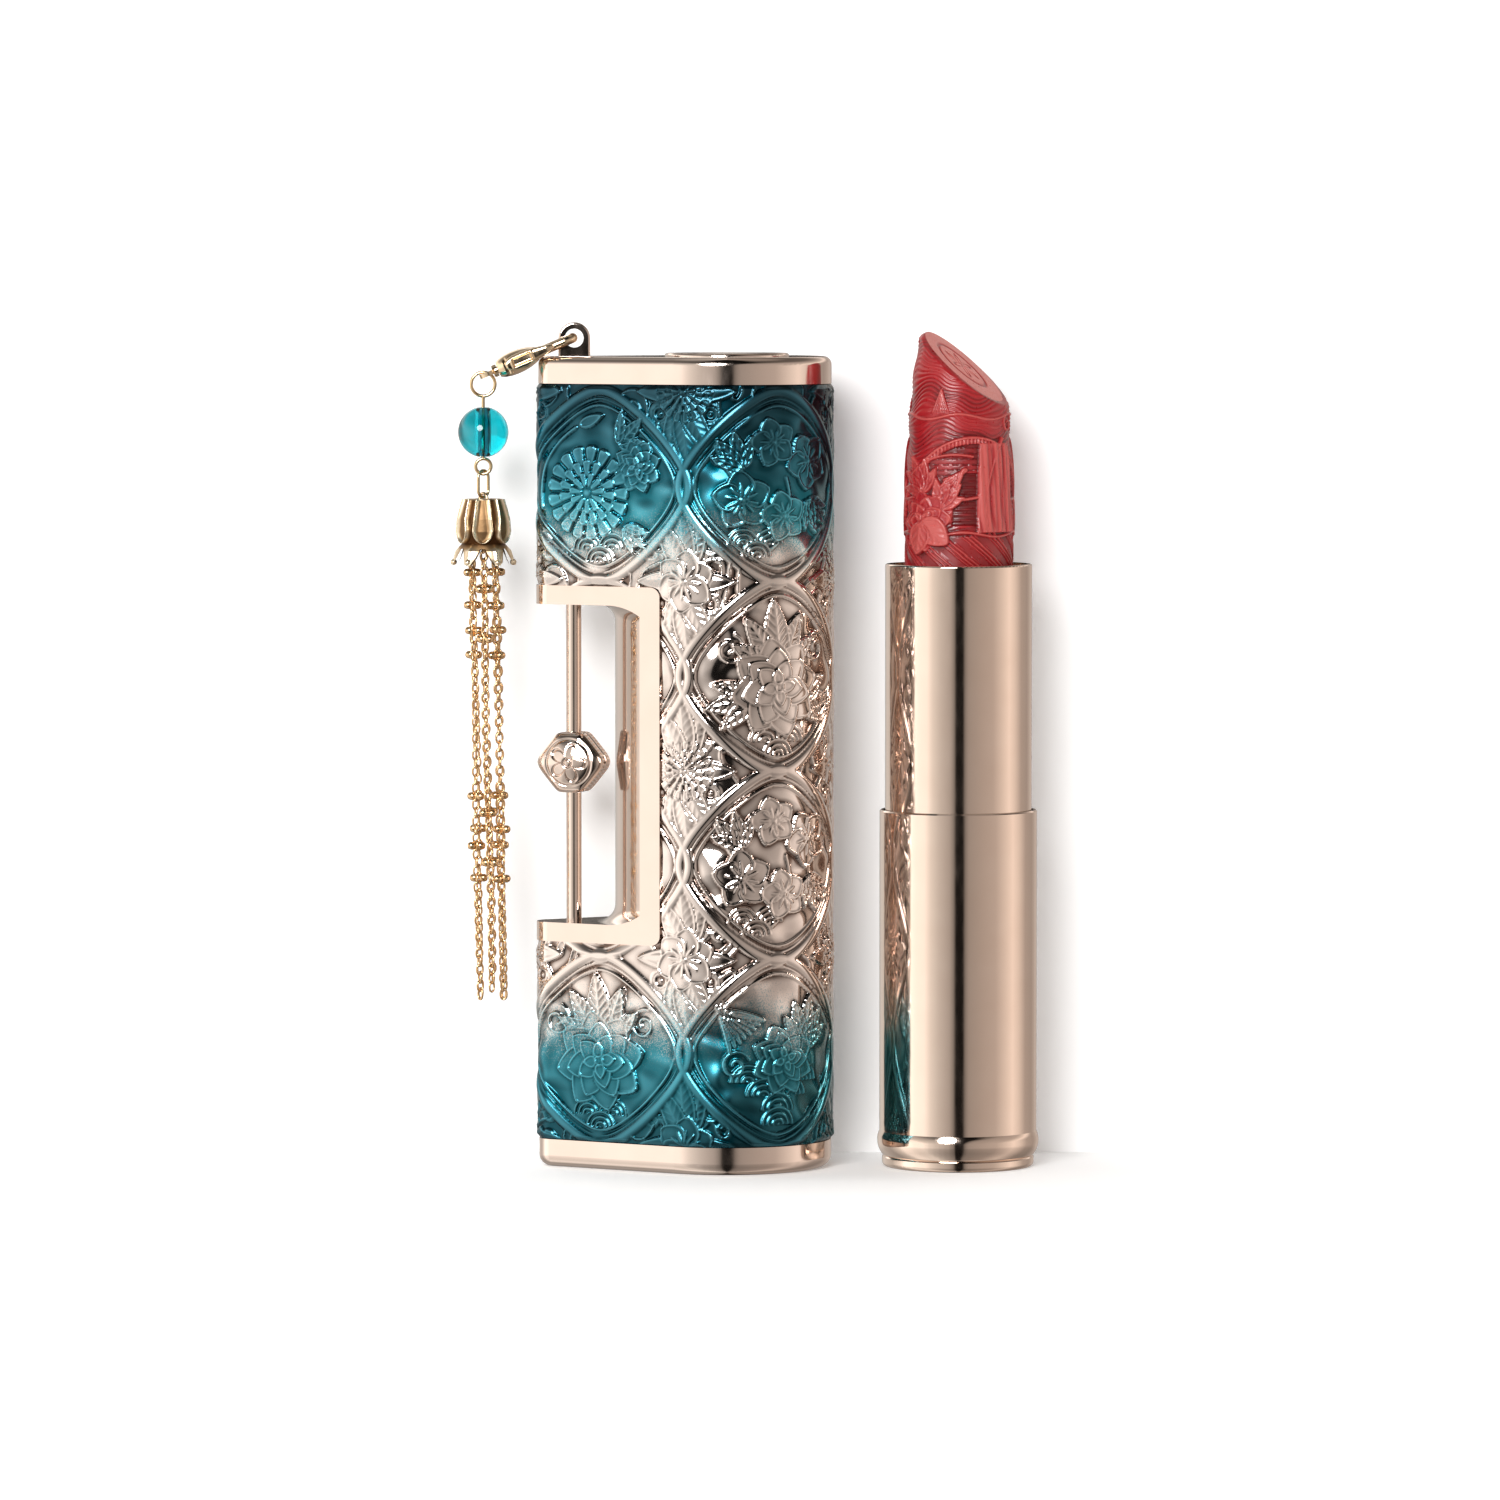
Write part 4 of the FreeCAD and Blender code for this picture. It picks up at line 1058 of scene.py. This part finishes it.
def bead_cap():
    """A cap of six spoon petals with raised rims, over six flared sepals with ball tips."""
    columns, rows = 264, 130
    angle = np.linspace(0, TAU, columns, endpoint=False)[None]
    z = np.linspace(CAP_TOP - 0.05, CAP_FOOT, rows)[:, None]
    heights, radii = np.array(CAP_PROFILE).T
    body = np.interp(z, heights, radii)
    sector = TAU / CAP_PETALS
    side = (angle % sector - sector / 2) * body
    opened = np.clip((CAP_TOP - z) / (CAP_TOP - PETAL_FOOT - PETAL_ROUND), 0, 1)
    half = PETAL_HALF_TOP + (PETAL_HALF - PETAL_HALF_TOP) * opened
    low = np.clip((PETAL_FOOT + PETAL_ROUND - z) / PETAL_ROUND, 0, None)
    half = np.where(low < 1, half * hump(low), -1.0)
    edge = half - np.abs(side)
    rim = bell(edge - 0.16, 0.17)
    bowl = np.clip((edge - 0.2) / 0.4, 0, 1)
    gap = np.clip(-edge / 0.2, 0, 1)
    deep = 0.28 + 0.3 * np.clip(z - 71.2, 0, 1)
    petal = 0.3 * rim - 0.16 * bowl - deep * gap
    sepal_side = ((angle + sector / 2) % sector - sector / 2) * body
    sepal_share = np.clip((SEPAL_TOP + 0.4 - z) / 0.8, 0, 1)
    sepal = 0.26 * bell(sepal_side, 0.8) + 0.14 * bell(sepal_side, 0.18)
    radius = body + petal * (1 - sepal_share) + sepal * sepal_share
    # Rims and sepals get a painted highlight; the petals' bowls and the gaps between them get brown patina
    # and painted shade.
    proud = (0.75 + 0.4 * rim - 0.55 * bowl - 0.8 * gap) * (1 - sepal_share)
    proud += sepal_share * (0.35 + 1.6 * sepal)
    points = polar(radius, angle, z)
    faces = quads(rows, columns)[:, ::-1]
    middle = points.reshape(-1, 3)[faces].mean(1)
    away = np.abs((np.arctan2(middle[:, 1], middle[:, 0]) + sector / 2) % sector - sector / 2) * 3.0
    notch = 0.3 + 0.9 * np.clip((middle[:, 2] - CAP_FOOT) / 1.7, 0, 1)
    cut = (middle[:, 2] < SEPAL_TOP - 0.2) & (away > notch)
    inside = points.copy()
    inside[..., :2] *= ((body - CAP_WALL) / radius)[..., None]
    lid = lathe([(r, CAP_TOP - drop) for r, drop in CAP_LID], 64, closed=False)
    parts = [
        (points, faces[~cut].tolist()),
        (inside, faces[~cut][:, ::-1].tolist()),
        (lid[0], [face[::-1] for face in lid[1]]),
    ]
    # The inside is held dark as patina and painted shade, the lid middling, and the ball tips bright as a
    # painted highlight.
    shine = [np.ravel(proud), np.full(rows * columns, 0.1), np.full(len(lid[0]), 0.5)]
    arc = np.linspace(0.01, math.pi - 0.01, 14)
    ball = lathe(np.stack([BALL_R * np.sin(arc), -BALL_R * np.cos(arc)], -1), 20, closed=False)
    for k in range(CAP_PETALS):
        parts.append((ball[0] + polar(BALL_RING, k * sector, BALL_Z), ball[1]))
        shine.append(np.full(len(ball[0]), 0.95))
    points, faces = merged(parts)
    proud = np.clip(np.concatenate(shine), 0, 1)
    piece("petal_cap", (points + [PIN_X, 0, 0], faces), "tassel", "antique_gold", "bead_cap", proud=proud)


STRANDS = 6
STRAND_RING = 1.5
STRAND_TOP = 70.2
STRAND_LEAN = 0.9
LINK_PITCH, LINK_WIRE = 0.92, 0.125
LINK_HALF_W, LINK_HALF_L = 0.36, 0.57
BARREL_AT = (4.6, 10.2, 29.4, 34.8)
BARREL_SHIFT = 1.7


def chain_link(middle, turn, lean):
    """One oval link of the fine chain, in a plane turned about the chain's own line."""
    t = np.arange(20) * TAU / 20
    wide = LINK_HALF_W * np.sign(np.cos(t)) * np.abs(np.cos(t)) ** 0.85
    long = LINK_HALF_L * np.sin(t)
    path = np.stack([wide * math.cos(turn) + long * lean, wide * math.sin(turn), -long], -1)
    return tube(path + middle, LINK_WIRE, 8, closed=True)


def barrel(middle, turn):
    """A small bead of two balls side by side, threaded on a strand."""
    x = np.linspace(-0.98, 0.98, 31)
    r = 0.14 + 0.31 * hump((np.abs(x) - 0.5) / 0.49)
    path = np.stack([x * math.cos(turn), x * math.sin(turn), 0 * x], -1)
    return tube(path + middle, r, 18)


def strand(k):
    """One chain of the tassel, hanging a little loosely from the cap, with its small beads."""
    low, high = box_mm(f"chain_{k + 1}")
    rng = np.random.default_rng(40 + k)
    angle = TAU / 12 + k * TAU / STRANDS
    top = polar(STRAND_RING, angle, STRAND_TOP) + [PIN_X, 0, 0]
    length = STRAND_TOP - low[2]
    count = int(length / LINK_PITCH)
    parts = []
    turn = rng.uniform(0, math.pi)
    for n in range(count):
        down = (n + 0.5) * LINK_PITCH
        share = down / length
        sway = 0.14 * math.sin(share * 7 + 2 * k) * math.sin(math.pi * share)
        lean = STRAND_LEAN / length
        middle = top + [lean * down + sway, 0.6 * sway, -down]
        parts.append(chain_link(middle, turn, -lean))
        turn += math.pi / 2 + rng.uniform(-0.16, 0.16) + 0.05
        for at in BARREL_AT:
            if abs(at + BARREL_SHIFT * (k % 3) - down) < LINK_PITCH / 2:
                parts.append(barrel(middle, rng.uniform(-0.5, 0.5)))
    piece(f"strand_chain_{k + 1}", merged(parts), f"strand_{k + 1}", "chain_gold", f"chain_{k + 1}")


# ---------------------------------------------------------------- stage, light and camera

LOOK_AT = np.array([2.56, 0.0, 46.3])
CAMERA_FAR = 944.0
CAMERA_PITCH = math.radians(3.4)
WALL_Y = 13.5
STAGE_HALF = 900.0
LENS = 204.0
LAMP_AT, LAMP_AIM = np.array([-220.0, -800.0, 380.0]), np.array([0.0, 0.0, 45.0])


def sheet(name, corners):
    """A flat four-cornered stage piece."""
    mesh = bpy.data.meshes.new(name)
    mesh.from_pydata((np.array(corners, float) * MM).tolist(), [], [[0, 1, 2, 3]])
    made = bpy.data.objects.new(name, mesh)
    bpy.context.scene.collection.objects.link(made)
    return made


def paper(name, one_sided):
    """White paper for the floor and wall; the wall's is clear from behind."""
    shade = Shade(name, Roughness=0.9, Emission_Strength=0.16)
    shade.shader.inputs["Emission Color"].default_value = (1, 1, 1, 1)
    shade.feed("Base Color", shade.blend(shade.noise(0.02, 2.0), tint("FCFCFC"), tint("F8F8F8")))
    if one_sided:
        behind = shade.add("ShaderNodeNewGeometry", {}).outputs["Backfacing"]
        clear = shade.add("ShaderNodeBsdfTransparent", {}).outputs[0]
        mix = shade.add("ShaderNodeMixShader", {0: behind, 1: shade.shader.outputs[0], 2: clear})
        shade.tree.links.new(mix.outputs[0], shade.tree.nodes["Material Output"].inputs["Surface"])
    return shade.material


def stage():
    """A white floor, and a white wall close behind that the soft shadows fall on."""
    far = STAGE_HALF
    flat = [(-far, -far, 0), (far, -far, 0), (far, far, 0), (-far, far, 0)]
    upright = [(-far, WALL_Y, 0), (far, WALL_Y, 0), (far, WALL_Y, far), (-far, WALL_Y, far)]
    for name, corners in (("floor", flat), ("wall", upright)):
        made = sheet(name, corners)
        made.data.materials.append(paper(f"{name}_paper", name == "wall"))
        made.visible_glossy = False


SOFTBOXES = (
    (-180, 0.03), (-174, 0.5), (-150, 0.75), (-120, 0.6), (-100, 1.1), (-90, 1.75), (-78, 1.7),
    (-66, 1.42), (-52, 1.34), (-42, 0.95), (-30, 0.7), (-14, 0.48), (-8, 0.28), (-5, 0.012), (6, 0.012),
    (9, 0.26), (14, 0.4), (35, 0.5), (55, 0.58), (72, 0.85), (86, 1.1), (98, 0.9), (115, 0.5),
    (135, 0.42), (155, 0.6), (174, 0.45), (180, 0.03),
)
BRIGHTEST = 2.0
SLIT_SPREAD = 0.8
SKY_BY_HEIGHT = (
    (-1.0, 0.65), (-0.6, 0.6), (-0.3, 0.75), (-0.18, 1.0), (0.45, 1.0), (0.62, 0.4), (0.8, 0.3), (0.9, 0.7),
    (1.0, 0.8),
)


def draw_curve(node, stops):
    """Straight runs through (position, level) stops on a curve node."""
    line = node.mapping.curves[0]
    while len(line.points) < len(stops):
        line.points.new(0.5, 0.5)
    for point, stop in zip(line.points, stops):
        point.location = stop
        point.handle_type = "VECTOR"
    node.mapping.update()


def studio_light():
    """Softboxes all round as a sky, with a narrow dark slit at the camera."""
    world = bpy.data.worlds.new("studio")
    world.use_nodes = True
    bpy.context.scene.world = world
    tree = world.node_tree
    tree.nodes.clear()
    add = partial(add_node, tree)

    def maths(operation, a, b):
        return add("ShaderNodeMath", {0: a, 1: b}, operation=operation).outputs[0]

    def spread(value, low, high, to_low=0.0, to_high=1.0):
        span = {"From Min": low, "From Max": high, "To Min": to_low, "To Max": to_high}
        return add("ShaderNodeMapRange", {"Value": value, **span}).outputs[0]

    def levels(value, stops):
        curve = add("ShaderNodeFloatCurve", {"Factor": 1.0, "Value": value})
        draw_curve(curve, stops)
        return curve.outputs[0]

    axes = add("ShaderNodeSeparateXYZ", {0: add("ShaderNodeTexCoord", {}).outputs["Generated"]}).outputs
    bearing = maths("ARCTAN2", axes["X"], maths("MULTIPLY", axes["Y"], -1.0))
    squeeze = spread(axes["Z"], 0.12, 0.5, 1.0, 1 - SLIT_SPREAD)
    share = spread(maths("MULTIPLY", bearing, squeeze), -math.pi, math.pi)
    around = levels(share, [((degrees + 180) / 360, level / BRIGHTEST) for degrees, level in SOFTBOXES])
    climb = spread(axes["Z"], -1.0, 1.0)
    upward = levels(climb, [((height + 1) / 2, level) for height, level in SKY_BY_HEIGHT])
    power = maths("MULTIPLY", maths("MULTIPLY", around, upward), BRIGHTEST)
    warm = spread(bearing, -0.6, 0.6)
    tints = {0: warm, 6: tint("FFFAF3"), 7: tint("FFF1E6")}
    colour = add("ShaderNodeMix", tints, data_type="RGBA").outputs[2]
    boxes = add("ShaderNodeBackground", {"Color": colour, "Strength": power}).outputs[0]
    plain = add("ShaderNodeBackground", {"Color": (1, 1, 1, 1), "Strength": 1.0}).outputs[0]
    seen = add("ShaderNodeLightPath", {}).outputs["Is Camera Ray"]
    mix = add("ShaderNodeMixShader", {0: seen, 1: boxes, 2: plain}).outputs[0]
    add("ShaderNodeOutputWorld", {"Surface": mix})


def key_lamp():
    """One big round lamp, up and to the left of the camera."""
    lamp = bpy.data.lights.new("key_lamp", "AREA")
    lamp.shape = "DISK"
    lamp.size = 0.42
    lamp.energy = 7.0
    key = bpy.data.objects.new("key_lamp", lamp)
    bpy.context.scene.collection.objects.link(key)
    key.location = LAMP_AT * MM
    key.rotation_mode = "QUATERNION"
    key.rotation_quaternion = Vector((LAMP_AIM - LAMP_AT) * MM).to_track_quat("-Z", "Y")


def camera():
    """A long lens a little above the object, looking at its front."""
    data = bpy.data.cameras.new("camera")
    data.sensor_width = 36.0
    data.lens = LENS
    data.clip_start, data.clip_end = 0.05, 10.0
    made = bpy.data.objects.new("camera", data)
    bpy.context.scene.collection.objects.link(made)
    back = np.array([0.0, -math.cos(CAMERA_PITCH), math.sin(CAMERA_PITCH)])
    made.location = (LOOK_AT + back * CAMERA_FAR) * MM
    made.rotation_euler = (math.pi / 2 - CAMERA_PITCH, 0.0, 0.0)
    bpy.context.scene.camera = made
    bpy.context.scene.view_settings.view_transform = "Standard"


finish_cad_nodes()
relief_shell()
bullet_piece()
knob_half("knob_face_front", 1, "knob_front")
knob_half("knob_face_back", -1, "knob_back")
glass_bead()
clasp_lever()
leaf_spring()
coil_spring()
bead_cap()
for index in range(STRANDS):
    strand(index)
stage()
studio_light()
key_lamp()
camera()
